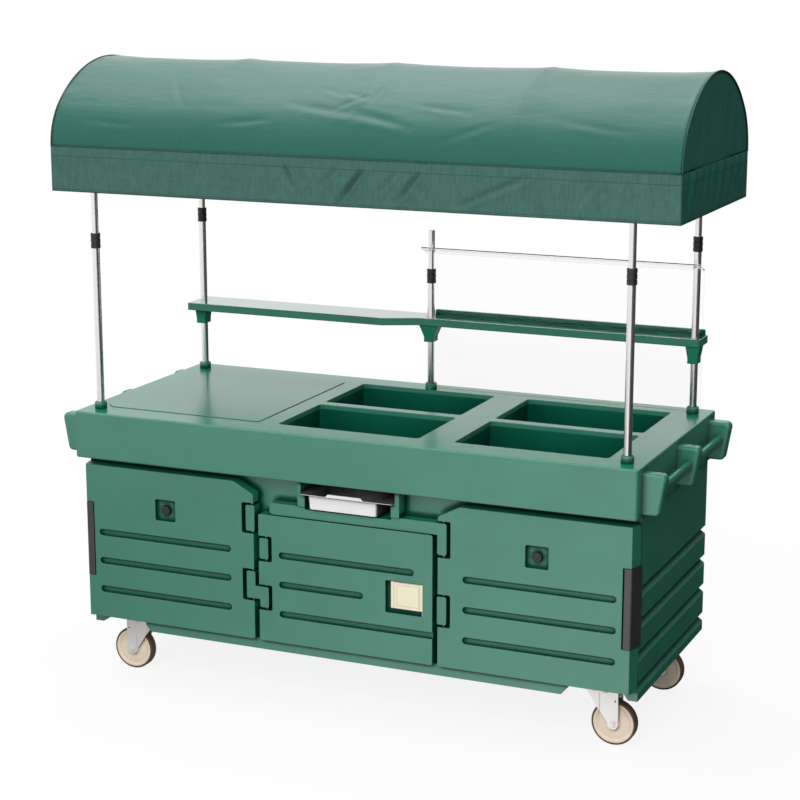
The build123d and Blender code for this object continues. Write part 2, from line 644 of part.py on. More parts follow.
seat = box(GUARD_X[0] - GUARD_GAP, GUARD_X[1] + GUARD_GAP, GUARD_Y - GUARD_T / 2 - GUARD_GAP,
           GUARD_Y + GUARD_T / 2 + GUARD_GAP, SHELF_TOP - GUARD_SEAT, SHELF_TOP)
shelf -= seat
shelf -= Pos(0, 0, GUARD_SEAT - SHELF_T) * seat
nodes["serving_shelf"] = shelf


# Shelf brackets
def shelf_bracket(x, y):
    under = SHELF_TOP - SHELF_T
    low, waist = BRACKET_Z
    wide = min(BRACKET_TOP, SHELF_X - abs(x))
    half = BRACKET_W / 2
    gusset = outline(
        (x - wide, under), (x - half, waist), (x - half, low),
        (x + half, low), (x + half, waist), (x + wide, under))
    return along_y(gusset, *BRACKET_Y) - rod(x, y, low, under, POLE_BORE)


for name, (x, y) in zip(("rear_left", "middle", "rear_right"), REAR_POLES):
    nodes[name + "_bracket"] = shelf_bracket(x, y)

# Clear guard above and below the shelf
t = GUARD_T / 2
dy = GUARD_TIP[0] - GUARD_Y
dz = GUARD_TIP[1] - GUARD_BEND_Z
size = (dy * dy + dz * dz) ** 0.5
ny = -dz / size * t
nz = dy / size * t
sheet = outline(
    (GUARD_Y + t, SHELF_TOP - GUARD_SEAT), (GUARD_Y + t, GUARD_BEND_Z + 1.6 * t, 8),
    (GUARD_TIP[0] - ny, GUARD_TIP[1] - nz), (GUARD_TIP[0] + ny, GUARD_TIP[1] + nz),
    (GUARD_Y - t, GUARD_BEND_Z - 0.6 * t, 4), (GUARD_Y - t, SHELF_TOP - GUARD_SEAT))
guard = along_x(sheet, *GUARD_X)
guard -= rod(MID_POLE_X, POLE_Y, GUARD_BEND_Z, GUARD_TIP[1] + 10, UPPER_R + 1)
guard -= rod(POLE_X, POLE_Y, GUARD_BEND_Z, GUARD_TIP[1] + 10, POLE_R + 1)
nodes["upper_guard"] = guard
nodes["lower_guard"] = box(GUARD_X[0], GUARD_X[1], GUARD_Y - t, GUARD_Y + t, COUNTER_TOP - GUARD_SEAT,
                           SHELF_TOP - SHELF_T + GUARD_SEAT)


# Canopy: the arch is a crown arc between two side arcs
def arch(inset, foot):
    a = CANOPY_Y - inset
    b = PEAK_Z - SPRING_Z - inset
    r1 = SIDE_R - inset
    r2 = ((a - r1) ** 2 + b * b - r1 * r1) / (2 * (b - r1))
    c1 = a - r1
    c2 = b - r2
    k = r2 / (r2 - r1)
    join_y = c1 * k
    join_z = c2 + (0 - c2) * k
    k2 = 0.5
    mid = Vector(1, 0).rotate(Axis.Z, 0.5 * Vector(1, 0).get_angle(Vector(join_y - c1, join_z)))
    p = (c1 + r1 * mid.X, SPRING_Z + r1 * mid.Y)
    right = ThreePointArc((a, SPRING_Z), p, (join_y, SPRING_Z + join_z))
    crown = ThreePointArc((join_y, SPRING_Z + join_z), (0, SPRING_Z + b), (-join_y, SPRING_Z + join_z))
    left = ThreePointArc((-join_y, SPRING_Z + join_z), (-p[0], p[1]), (-a, SPRING_Z))
    lines = [Line((a, foot), (a, SPRING_Z)), right, crown, left, Line((-a, SPRING_Z), (-a, foot))]
    return lines


def arch_face(inset, foot):
    lines = arch(inset, foot)
    return make_face(lines + [Line(lines[-1] @ 1, lines[0] @ 0)])


inner_x = CANOPY_X - CLOTH_T
cover = along_x(arch_face(0, VALANCE_Z), -CANOPY_X, CANOPY_X)
cover -= along_x(arch_face(CLOTH_T, VALANCE_Z), -inner_x, inner_x)


def pleated_end():
    """The gathered end valance: a strip folded in arcs, between two flat edges."""
    pleat_top = RAIL_Z - TUBE_R - 12
    half = CANOPY_Y - CLOTH_T
    step = 2 * half / PLEATS
    x_in = CANOPY_X - PLEAT_D
    outer = []
    inner = []
    for i in range(PLEATS):
        y0 = -half + i * step
        turn = 0.5 * step
        outer.append(ThreePointArc((x_in, y0), (CANOPY_X, y0 + turn), (x_in, y0 + step)))
        back = x_in - CLOTH_T
        inner.append(ThreePointArc((back, y0), (CANOPY_X - CLOTH_T, y0 + turn), (back, y0 + step)))
    ends = [Line((x_in - CLOTH_T, -half), (x_in, -half)), Line((x_in, half), (x_in - CLOTH_T, half))]
    return along_z(make_face(outer + inner + ends), VALANCE_Z, pleat_top)


pleats = pleated_end()
pleat_top = RAIL_Z - TUBE_R - 12
half = CANOPY_Y - CLOTH_T
shelf_cut = box(inner_x - 0.01, CANOPY_X + 1, -half, half, VALANCE_Z - 1, pleat_top)
ledge = box(CANOPY_X - PLEAT_D - CLOTH_T, CANOPY_X, -half, half, pleat_top, pleat_top + CLOTH_T)
cover -= shelf_cut
cover -= other_side(shelf_cut)
for piece in (pleats, ledge):
    cover += piece
    cover += other_side(piece)
nodes["canopy_cover"] = cover

# Canopy frame: two rails with cross rails, five hoops, four pole fittings
tube_inset = CLOTH_T + FRAME_GAP + TUBE_R
rail_y = CANOPY_Y - tube_inset
end_x = CANOPY_X - CLOTH_T - FRAME_GAP
cross_x = end_x - TUBE_R
rail_face = Circle(TUBE_R)
rail_bore = Circle(TUBE_R - TUBE_WALL)
rails = None
bores = None
for sy in (-1, 1):
    rail = Pos(0, sy * rail_y, RAIL_Z) * along_x(rail_face, -end_x, end_x)
    bore = Pos(0, sy * rail_y, RAIL_Z) * along_x(rail_bore, -end_x, end_x)
    rails = rail if rails is None else rails + rail
    bores = bore if bores is None else bores + bore
for x in (-cross_x, cross_x):
    rails += Pos(x, 0, RAIL_Z) * along_y(rail_face, -rail_y, rail_y)
    bores += Pos(x, 0, RAIL_Z) * along_y(rail_bore, -rail_y, rail_y)
nodes["canopy_rails"] = rails - bores


def hoop(x):
    wire = Wire(arch(tube_inset, RAIL_Z))
    path = Plane.YZ.offset(x) * wire
    ring = Plane(origin=path @ 0, z_dir=path % 0) * (Circle(TUBE_R) - Circle(TUBE_R - TUBE_WALL))
    bow = sweep(ring, path=path)
    for sy in (-1, 1):
        bow -= Pos(0, sy * rail_y, RAIL_Z) * along_x(Circle(TUBE_R + SLIDE_GAP), -end_x, end_x)
    for cx in (-cross_x, cross_x):
        if abs(cx - x) < 1:
            bow -= Pos(cx, 0, RAIL_Z) * along_y(Circle(TUBE_R + SLIDE_GAP), -rail_y, rail_y)
    return bow


hoops = None
for x in (-cross_x, -HOOP_X, 0, HOOP_X, cross_x):
    hoops = hoop(x) if hoops is None else hoops + hoop(x)
nodes["canopy_hoops"] = hoops
fittings = None
for x, y in POLES:
    sy = 1 if y > 0 else -1
    y0 = sy * (POLE_Y - UPPER_R - 4)
    y1 = sy * (CANOPY_Y - CLOTH_T - FRAME_GAP)
    block = box(x - 18, x + 18, min(y0, y1), max(y0, y1), FITTING_Z, RAIL_Z)
    block -= rod(x, y, FITTING_Z, RAIL_Z - TUBE_R - 1, UPPER_R + SLIDE_GAP)
    block -= Pos(0, sy * rail_y, RAIL_Z) * along_x(Circle(TUBE_R + SLIDE_GAP), x - 20, x + 20)
    fittings = block if fittings is None else fittings + block
nodes["canopy_fittings"] = fittings


# Casters, modelled at the origin of the swivel axis with the wheel trailing to +X
def caster_plate():
    plate = box(-PLATE_L / 2, PLATE_L / 2, -PLATE_W / 2, PLATE_W / 2, PLATE_Z - PLATE_T, PLATE_Z)
    plate = fillet(plate.edges().filter_by(Axis.Z), 10)
    plate += rod(0, 0, PLATE_Z - PLATE_T - RACE_H / 2, PLATE_Z - PLATE_T, RACE_R - 6)
    plate += rod(0, 0, PLATE_Z - PLATE_T - RACE_H - CROWN_T - 6, PLATE_Z - PLATE_T, 8)
    return plate


def fork():
    top = PLATE_Z - PLATE_T - TOUCH
    crown_top = top - RACE_H
    inner = WHEEL_W / 2 + LEG_GAP
    outer = inner + LEG_T
    race = rod(0, 0, crown_top - CROWN_T, top, RACE_R)
    race = fillet(race.faces().sort_by(Axis.Z)[-1].edges(), 4)
    race -= rod(0, 0, top - RACE_H / 2 - TOUCH, top, RACE_R - 6 + TOUCH)
    x0 = TRAIL - LEG_W / 2
    x1 = TRAIL + LEG_W / 2
    low = WHEEL_R - LEG_W / 2
    horn = outline((SLANT_X, -outer, 6), (x1, -outer), (x1, outer), (SLANT_X, outer, 6))
    body = race + along_z(horn, crown_top - CROWN_T, crown_top)
    slant = (crown_top - CROWN_T - WHEEL_R) / (x0 - SLANT_X)
    web = outline(
        (SLANT_X, crown_top), (SLANT_X, crown_top - CROWN_T), (x0, WHEEL_R), (x1, WHEEL_R), (x1, crown_top))
    strip = outline((x0, crown_top), (x0, low, 17), (x1, low, 17), (x1, crown_top))
    second = outline((STRIP_X[0], crown_top), (STRIP_X[0], WHEEL_R + slant * (x0 - STRIP_X[0])),
                     (STRIP_X[1], WHEEL_R + slant * (x0 - STRIP_X[1])), (STRIP_X[1], crown_top))
    for s in (-1, 1):
        y0, y1 = sorted((s * inner, s * outer))
        body += along_y(web, y0, y1)
        y0, y1 = sorted((s * inner, s * (outer + LEG_PROUD)))
        body += along_y(strip, y0, y1)
        body += along_y(second, y0, y1)
    body -= rod(0, 0, crown_top - CROWN_T - 1, top, 8 + TOUCH)
    body -= Pos(TRAIL, 0, WHEEL_R) * along_y(Circle(AXLE_R + BORE_GAP), -60, 60)
    body -= Pos(TRAIL + 9, 0, WHEEL_R * 2 + 4) * along_y(Circle(3), -60, 60)
    return body


def axle():
    half = WHEEL_W / 2 + LEG_GAP + LEG_T + LEG_PROUD
    bolt = along_y(Circle(AXLE_R), -half - 12, half + 8)
    bolt += along_y(RegularPolygon(11, 6), -half - 7, -half)
    bolt += along_y(RegularPolygon(11, 6), half, half + 7)
    return Pos(TRAIL, 0, WHEEL_R) * bolt


def wheel():
    half = WHEEL_W / 2
    profile = outline(
        (AXLE_R + BORE_GAP, -half - LEG_GAP + 0.5), (HUB_R - 4, -half - LEG_GAP + 0.5), (HUB_R, -half + 1),
        (WHEEL_R - 20, -half + 3), (WHEEL_R - 14, -half, 2), (WHEEL_R - TREAD, -half),
        (WHEEL_R - TREAD, half), (WHEEL_R - 14, half, 2), (WHEEL_R - 20, half - 3),
        (HUB_R, half - 1), (HUB_R - 4, half + LEG_GAP - 0.5), (AXLE_R + BORE_GAP, half + LEG_GAP - 0.5))
    disc = revolve(profile, Axis.Y)
    return Pos(TRAIL, 0, WHEEL_R) * disc


def tyre():
    half = WHEEL_W / 2
    profile = outline((WHEEL_R - TREAD, -half), (WHEEL_R, -half, 4), (WHEEL_R, half, 4), (WHEEL_R - TREAD, half))
    return Pos(TRAIL, 0, WHEEL_R) * revolve(profile, Axis.Y)


plates = None
made = (("fork", fork()), ("wheel", wheel()), ("tyre", tyre()), ("axle", axle()))
for name, sx, sy in (("front_left", -1, -1), ("front_right", 1, -1), ("rear_left", -1, 1), ("rear_right", 1, 1)):
    place = Pos(sx * SWIVEL_X, sy * SWIVEL_Y, 0) * Rot(0, 0, 0 if sx > 0 else 180)
    plate = place * caster_plate()
    plates = plate if plates is None else plates + plate
    for kind, shape in made:
        nodes["%s_%s" % (name, kind)] = place * shape
nodes["caster_plates"] = plates

for name, shape in nodes.items():
    export_step(shape, "parts/%s.step" % name)
    print(name, len(shape.solids()), round(shape.volume / 1000, 1))
print(len(nodes), "nodes")
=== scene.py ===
# %% [markdown]
# The imported CAD model of the food cart is the fixed frame that everything else is built
# round. The cart could be modelled over again here, but then its sizes and joints would
# drift from the CAD. So the model is loaded first.

import json
import math

import bmesh
import bpy
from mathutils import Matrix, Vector, noise


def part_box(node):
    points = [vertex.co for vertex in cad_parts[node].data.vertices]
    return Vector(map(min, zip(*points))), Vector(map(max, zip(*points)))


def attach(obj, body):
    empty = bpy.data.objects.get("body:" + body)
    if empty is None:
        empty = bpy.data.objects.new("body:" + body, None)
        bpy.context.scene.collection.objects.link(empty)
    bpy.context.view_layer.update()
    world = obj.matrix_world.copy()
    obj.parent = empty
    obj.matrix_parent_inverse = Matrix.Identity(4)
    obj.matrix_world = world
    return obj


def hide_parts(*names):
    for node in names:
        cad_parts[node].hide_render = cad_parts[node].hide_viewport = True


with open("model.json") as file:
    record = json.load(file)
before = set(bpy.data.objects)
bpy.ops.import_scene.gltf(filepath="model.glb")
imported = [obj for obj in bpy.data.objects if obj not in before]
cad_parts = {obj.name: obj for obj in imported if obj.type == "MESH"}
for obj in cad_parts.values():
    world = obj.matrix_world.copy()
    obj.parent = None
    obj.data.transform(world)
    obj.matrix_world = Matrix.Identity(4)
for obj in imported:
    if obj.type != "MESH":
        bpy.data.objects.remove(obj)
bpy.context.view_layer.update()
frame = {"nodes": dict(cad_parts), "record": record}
nodes = frame["nodes"]

# %% [markdown]
# A finish is a small tree of shader nodes. Such a tree can be wired by hand in the editor.
# In a script the same few nodes come back in every finish, so each gets a helper here. A
# value may be a number or the output of another node, and feed() takes either.


# %% Node helpers
def node(owner, kind, **inputs):
    """A new shader node in a material or the world, with its sockets set."""
    new = owner.node_tree.nodes.new("ShaderNode" + kind)
    for name, value in inputs.items():
        new.inputs[name.replace("_", " ")].default_value = value
    return new


def feed(owner, socket, value):
    """Links a socket to another node's output, or sets it to a number or colour."""
    if isinstance(value, bpy.types.NodeSocket):
        owner.node_tree.links.new(value, socket)
    else:
        socket.default_value = value


def calc(owner, operation, *values):
    """One Math node."""
    new = node(owner, "Math")
    new.operation = operation
    for socket, value in zip(new.inputs, values):
        feed(owner, socket, value)
    return new.outputs[0]


def remap(owner, value, start, end, at_start, at_end, kind="LINEAR"):
    """at_start where the value is start, at_end where it is end, and a slope between them."""
    new = node(owner, "MapRange", From_Min=start, From_Max=end, To_Min=at_start, To_Max=at_end)
    new.interpolation_type = kind
    feed(owner, new.inputs["Value"], value)
    return new.outputs["Result"]


def toward(owner, vector, direction):
    """How far a vector points in a direction."""
    new = node(owner, "VectorMath")
    new.operation = "DOT_PRODUCT"
    feed(owner, new.inputs[0], vector)
    new.inputs[1].default_value = direction
    return new.outputs["Value"]


def mix_colours(owner, share, first, second, blend="MIX"):
    """The first colour, with the second one mixed in as far as share says."""
    new = node(owner, "Mix")
    new.data_type = "RGBA"
    new.blend_type = blend
    for name, value in (("Factor", share), ("A", first), ("B", second)):
        feed(owner, new.inputs[name], value)
    return new.outputs["Result"]


# %% [markdown]
# Every surface of the cart starts as a Principled shader, whose colour, roughness and
# normal are then taken from patterns. The patterns read Object coordinates. Each object
# sits at the origin, so these are metres on the real cart and a grain keeps its real size.


# %% Pattern helpers
def new_material(name, color, rough=0.5, metal=0.0, spec=0.5):
    """A plain Principled material, to start a finish from."""
    mat = bpy.data.materials.new(name)
    mat.use_nodes = True
    inputs = shader(mat).inputs
    inputs["Base Color"].default_value = opaque(color)
    inputs["Roughness"].default_value = rough
    inputs["Metallic"].default_value = metal
    inputs["Specular IOR Level"].default_value = spec
    return mat


def shader(mat):
    return mat.node_tree.nodes["Principled BSDF"]


def opaque(color):
    return (*color, 1)


def shade(color, times):
    return tuple(min(1, part * times) for part in color)


def metres(mat, scale=(1, 1, 1)):
    """Object coordinates, times a scale for each axis."""
    new = node(mat, "Mapping", Scale=scale)
    feed(mat, new.inputs["Vector"], node(mat, "TexCoord").outputs["Object"])
    return new.outputs["Vector"]


def grain_of(mat, where, scale, detail=3.0, rough=0.5):
    """Smooth noise from 0 to 1."""
    new = node(mat, "TexNoise", Scale=scale, Detail=detail, Roughness=rough)
    feed(mat, new.inputs["Vector"], where)
    return new.outputs["Fac"]


def tones(mat, value, stops):
    """Colours along a value, each stop a pair of place and colour."""
    new = node(mat, "ValToRGB")
    while len(new.color_ramp.elements) < len(stops):
        new.color_ramp.elements.new(0.5)
    for element, (position, color) in zip(new.color_ramp.elements, stops):
        element.position = position
        element.color = opaque(color)
    feed(mat, new.inputs["Fac"], value)
    return new.outputs["Color"]


# %% [markdown]
# Relief that is finer than the mesh is made by bending the surface's normal. That costs no
# faces, but it shows no outline, so it serves for grain, weave and stitches only. Edges are
# rounded in the same way, and hollows are darkened, because little light gets into them.


# %% Relief and shade helpers
def bump(mat, height, strength, distance, below=None):
    """Small relief, on top of the normal below it."""
    new = node(mat, "Bump", Strength=strength, Distance=distance)
    feed(mat, new.inputs["Height"], height)
    if below is not None:
        feed(mat, new.inputs["Normal"], below)
    return new.outputs["Normal"]


def rounded_edges(mat, radius):
    """A normal that rounds sharp edges in the light, as a mould or a file rounds them."""
    new = node(mat, "Bevel", Radius=radius)
    new.samples = 4
    return new.outputs["Normal"]


def openness(mat, reach, low=0.60, high=0.96):
    """1 on open faces, falling to 0 deep in gaps, grooves and corners."""
    new = node(mat, "AmbientOcclusion", Distance=reach)
    new.samples = 5
    return remap(mat, new.outputs["AO"], low, high, 0.0, 1.0, "SMOOTHSTEP")


def paint_hollow_shade(mat, color, open_face, share):
    """Painted shade: the colour, times share where the surface is deep in a hollow."""
    hollow = remap(mat, open_face, 0.0, 1.0, 1.0, 0.0)
    return mix_colours(mat, hollow, color, opaque((share, share, share)), "MULTIPLY")


def finish(mat, color=None, rough=None, normal=None):
    """Wires the finished patterns to the shader."""
    for name, value in (("Base Color", color), ("Roughness", rough), ("Normal", normal)):
        if value is not None:
            feed(mat, shader(mat).inputs[name], value)
    return mat


def source_of(mat, name):
    """The output that feeds one of the shader's sockets."""
    return shader(mat).inputs[name].links[0].from_socket


# %% [markdown]
# The cabinet, doors and counter are rotomoulded polyethylene. The powder melts against a
# blasted mould, which leaves a fine pebble, slow waves and soft edges. All of that is far
# finer than the mesh, so it is made in the material: two noises for pebble and waves, a
# Bevel node for the edges, and ambient occlusion that paints shade into the grooves and gaps.

# %% Moulded plastic
GREEN = (0.006, 0.168, 0.103)
GREEN_LIGHT = (0.010, 0.182, 0.114)
GREEN_DARK = (0.004, 0.154, 0.094)
MOULD_EDGE = 0.0035         # radius of the softened edges, in metres
# Painted shade on the gloss as well: the specular level drops deep in a hollow, as the colour does.
HOLLOW_GLOSS = 0.05         # share of the gloss that is left deep in a hollow


def moulded_plastic(name, rough, pebble, spec=0.5, ior=1.5, reach=0.022, share=0.30, low=0.60, high=0.96):
    """Polyethylene with a pebble, slow changes of tone, and painted shade in its hollows."""
    mat = new_material(name, GREEN, rough, 0.0, spec)
    shader(mat).inputs["IOR"].default_value = ior
    where = metres(mat)
    clouds = grain_of(mat, where, 6.0, 5.0, 0.6)
    tone = tones(mat, clouds, [(0.3, GREEN_DARK), (0.5, GREEN), (0.75, GREEN_LIGHT)])
    pebbles = grain_of(mat, where, 210.0, 2.0, 0.55)
    waves = bump(mat, grain_of(mat, where, 28.0), 0.05, 0.002, rounded_edges(mat, MOULD_EDGE))
    skin = bump(mat, pebbles, pebble, 0.0006, waves)
    open_face = openness(mat, reach, low, high)
    hollow_shaded_gloss = remap(mat, open_face, 0.0, 1.0, HOLLOW_GLOSS * spec, spec)
    feed(mat, shader(mat).inputs["Specular IOR Level"], hollow_shaded_gloss)
    roughness = remap(mat, pebbles, 0.0, 1.0, rough - 0.05, rough + 0.08)
    return finish(mat, paint_hollow_shade(mat, tone, open_face, share), roughness, skin)


green = moulded_plastic("green_moulded", rough=0.43, pebble=0.50, spec=1.0, ior=1.72,
                        reach=0.020, share=0.26, low=0.74, high=0.985)
green_deck = moulded_plastic("green_deck", rough=0.20, pebble=0.20, spec=1.0, ior=1.72)
# Painted shade: the wells' long reach darkens their whole insides.
green_well = moulded_plastic("green_well", rough=0.35, pebble=0.30, spec=0.4, reach=0.30, share=0.35)
green_bracket = moulded_plastic("green_bracket", rough=0.45, pebble=0.30, spec=0.3)
green_shelf = moulded_plastic("green_shelf", rough=0.14, pebble=0.02)
greens = (green, green_deck, green_well, green_bracket, green_shelf)
print("moulded finishes:", [mat.name for mat in greens])

# %% [markdown]
# The counter's top is wiped every day, so it is smoother than its sides, and its paler
# colour is painted light on the top. The worn part could be painted by hand as a mask. Here
# the surface's own normal picks it, because what looks up is what gets wiped and lit. The
# shelf has a polished top in the same way, made with the shader's coat.

# %% Worn tops with painted light, and polished tops
# Painted light: the paler green of the counter's top.
GREEN_TOP_LIT = (0.010, 0.260, 0.165)


def looks_up(mat, on_sides, on_top):
    """A value that changes from the sides of a piece to its top."""
    split = node(mat, "SeparateXYZ")
    feed(mat, split.inputs[0], node(mat, "NewGeometry").outputs["Normal"])
    return remap(mat, split.outputs["Z"], 0.6, 0.97, on_sides, on_top, "SMOOTHSTEP")


deck_inputs = shader(green_deck).inputs
feed(green_deck, deck_inputs["Roughness"], looks_up(green_deck, 0.46, 0.20))
feed(green_deck, deck_inputs["Specular IOR Level"], looks_up(green_deck, 1.0, 0.50))
plain_green = source_of(green_deck, "Base Color")
# Painted light: the top's colour is mixed towards the paler green; its wear is the lower roughness.
top_lit_green = mix_colours(green_deck, looks_up(green_deck, 0.0, 0.8), plain_green, opaque(GREEN_TOP_LIT))
finish(green_deck, top_lit_green)

shelf_inputs = shader(green_shelf).inputs
shelf_inputs["Coat Roughness"].default_value = 0.05
shelf_inputs["Coat IOR"].default_value = 2.3
feed(green_shelf, shelf_inputs["Coat Weight"], looks_up(green_shelf, 0.0, 1.0))
print("tops: the counter is worn, the shelf is polished")

# %% [markdown]
# The poles are drawn stainless tube and the casters zinc-plated pressings. Drawing leaves
# fine lines along a tube. The anisotropy socket could show them, but stretched noise is
# simpler and keeps its direction on every pole: it is fine across and long up and down.
# Plating has no direction, so the noise on the zinc isn't stretched.


# %% Steel
def steel(name, color, rough, scale):
    """Metal with fine lines or spangle, by the scale of its noise along each axis."""
    mat = new_material(name, color, rough, 1.0)
    lines = grain_of(mat, metres(mat, scale), 1.0, 4.0, 0.6)
    normal = bump(mat, lines, 0.06, 0.0003, rounded_edges(mat, 0.001))
    return finish(mat, None, remap(mat, lines, 0.0, 1.0, rough - 0.06, rough + 0.10), normal)


tube_steel = steel("tube_steel", (0.86, 0.84, 0.83), 0.22, (300, 300, 3))
zinc = steel("zinc", (0.92, 0.90, 0.87), 0.42, (60, 60, 60))
shader(zinc).inputs["Metallic"].default_value = 0.75      # dull plating looks partly like paint
print("steel finishes:", tube_steel.name, zinc.name)

# %% [markdown]
# Latches, collars, tray, paddle and wheels are small injection-moulded parts. They share
# one recipe, with its own colour, roughness and grain for each: a fine grain for the mould's
# texture, a slight change of tone, softened edges, and painted shade in the corners. The
# treads, whose dark brown is painted shade on the tan wheels, and the rubber of the gaskets
# take the same recipe with a coarser, duller grain.


# %% Small mouldings and rubber
def plain_plastic(name, color, rough, scale, depth, variation=0.12, spec=0.5, reach=0.012, share=0.4):
    """A moulded or pressed stuff, with the scale and depth of its grain."""
    mat = new_material(name, color, rough, 0.0, spec)
    where = metres(mat)
    pale_and_dark = [(0.3, shade(color, 1 - variation)), (0.7, shade(color, 1 + variation))]
    tone = tones(mat, grain_of(mat, where, 14.0, 4.0), pale_and_dark)
    grain = grain_of(mat, where, scale, 2.0)
    normal = bump(mat, grain, depth, 0.0004, rounded_edges(mat, 0.0012))
    roughness = remap(mat, grain, 0.0, 1.0, rough - 0.04, rough + 0.06)
    return finish(mat, paint_hollow_shade(mat, tone, openness(mat, reach), share), roughness, normal)


black = plain_plastic("black_plastic", (0.022, 0.021, 0.022), 0.42, 420.0, 0.12)
latch_grey = plain_plastic("latch_plastic", (0.036, 0.034, 0.035), 0.36, 420.0, 0.12, spec=1.0)
# Painted shade: the tray's long reach darkens its inside, which lies in shade under the counter.
tray_white = plain_plastic("tray_white", (0.92, 0.92, 0.93), 0.25, 300.0, 0.03, 0.02,
                           reach=0.10, share=0.10)
cream = plain_plastic("cream", (0.96, 0.89, 0.66), 0.35, 380.0, 0.06, 0.03)
tan = plain_plastic("wheel_tan", (0.92, 0.77, 0.61), 0.45, 300.0, 0.10, 0.06)
# Painted shade: the tread's dark brown stands in for the shade on the rims of the tan wheels.
tread_in_painted_shade = plain_plastic("wheel_tread", (0.10, 0.060, 0.035), 0.62, 500.0, 0.35, 0.25)
rubber = plain_plastic("gasket_rubber", (0.02, 0.02, 0.02), 0.7, 600.0, 0.3)
small_parts = (black, latch_grey, tray_white, cream, tan, tread_in_painted_shade, rubber)
print("small mouldings:", [mat.name for mat in small_parts])

# %% [markdown]
# The cream paddle latch has a line moulded round its face. It is too shallow to show in
# the outline, so it is drawn in the material and not cut, as painted shade and a dent. The
# paddle's own box gives the line its place, measured from the middle of the paddle in two
# directions.

# %% Line round the paddle
LINE_INSET = 0.010
LINE_WIDTH = 0.0016
paddle_low, paddle_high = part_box("paddle_latch")
split = node(cream, "SeparateXYZ")
feed(cream, split.inputs[0], metres(cream))
past_line = []
for axis, letter in ((0, "X"), (2, "Z")):
    middle = (paddle_low[axis] + paddle_high[axis]) / 2
    half = (paddle_high[axis] - paddle_low[axis]) / 2
    away = calc(cream, "ABSOLUTE", calc(cream, "SUBTRACT", split.outputs[letter], middle))
    past_line.append(calc(cream, "SUBTRACT", away, half - LINE_INSET))
off_line = calc(cream, "ABSOLUTE", calc(cream, "MAXIMUM", *past_line))
plain_face = remap(cream, off_line, LINE_WIDTH * 0.4, LINE_WIDTH, 0.0, 1.0, "SMOOTHSTEP")
# Painted shade: the line is darkened as the shade in a shallow groove.
line_shaded_colour = paint_hollow_shade(cream, source_of(cream, "Base Color"), plain_face, 0.62)
lined_normal = bump(cream, plain_face, 0.5, 0.001, source_of(cream, "Normal"))
finish(cream, line_shaded_colour, None, lined_normal)
print("the line runs", LINE_INSET * 1000, "mm inside the paddle's edge")

# %% [markdown]
# The two guard sheets are clear acrylic. Glass could be mixed from two shaders, but the
# Principled shader's transmission does it alone. A low index keeps the thin sheets from
# bending what lies behind them, and a faint noise in the roughness reads as wiped plastic.


# %% Clear sheets
def clear_plastic(name, color):
    """Acrylic sheet with a faint haze."""
    mat = new_material(name, color, 0.02)
    shader(mat).inputs["Transmission Weight"].default_value = 1.0
    shader(mat).inputs["IOR"].default_value = 1.2
    haze = grain_of(mat, metres(mat), 8.0)
    return finish(mat, None, remap(mat, haze, 0.0, 1.0, 0.0, 0.03))


clear = clear_plastic("clear_sheet", (0.98, 0.99, 0.985))
clear_low = clear_plastic("clear_low_sheet", (0.955, 0.95, 0.945))
print("clear sheets:", clear.name, clear_low.name)

# %% [markdown]
# The canopy is sewn from coated canvas: a fine weave, uneven threads, small crumples, and
# on the valance two rows of stitches. A photographed weave would need an image file. Here
# two sets of sine stripes cross into a weave, stretched noise makes the threads, and each
# row of stitches is a line at one height.

# %% Canvas
THREAD_PITCH = 0.0022
STITCH_ROWS = (1.7935, 1.6850)      # heights of the valance's stitches
STITCH_EDGES = (0.0006, 0.0022)     # full strength and end of a stitch row's shade, from its middle


def canvas(name, color, rough, spec, sheen=0.0, weave=0.25, streak=0.06, crumple=0.6,
           stitched=(), reach=0.015, creased=(3, 9, 9)):
    """Canvas with a weave, streaks of thread, crumples and rows of stitches."""
    mat = new_material(name, color, rough, 0.0, spec)
    shader(mat).inputs["Sheen Weight"].default_value = sheen
    shader(mat).inputs["Sheen Roughness"].default_value = 0.5
    split = node(mat, "SeparateXYZ")
    feed(mat, split.inputs[0], metres(mat))
    round_cart = calc(mat, "ADD", split.outputs["X"], split.outputs["Y"])
    warp, weft = (calc(mat, "SINE", calc(mat, "MULTIPLY", way, 2 * math.pi / THREAD_PITCH))
                  for way in (round_cart, split.outputs["Z"]))
    threads = grain_of(mat, metres(mat, (140, 140, 26)), 1.0, 4.0, 0.6)
    tone = tones(mat, threads, [(0.3, shade(color, 1 - streak)), (0.7, shade(color, 1 + streak))])
    normal = bump(mat, grain_of(mat, metres(mat, creased), 1.0, 6.0, 0.62), crumple, 0.012)
    normal = bump(mat, calc(mat, "MULTIPLY", warp, weft), weave, 0.0003, normal)
    normal = bump(mat, threads, streak, 0.0006, normal)
    for height in stitched:
        off = calc(mat, "ABSOLUTE", calc(mat, "SUBTRACT", split.outputs["Z"], height))
        stitches = remap(mat, off, *STITCH_EDGES, 1.0, 0.0)
        tone = mix_colours(mat, stitches, tone, opaque(shade(color, 0.62)))
        normal = bump(mat, stitches, -0.4, 0.001, normal)
    # Painted shade: the canvas is darkened in its folds, gathers and seams.
    return finish(mat, paint_hollow_shade(mat, tone, openness(mat, reach), 0.35), None, normal)


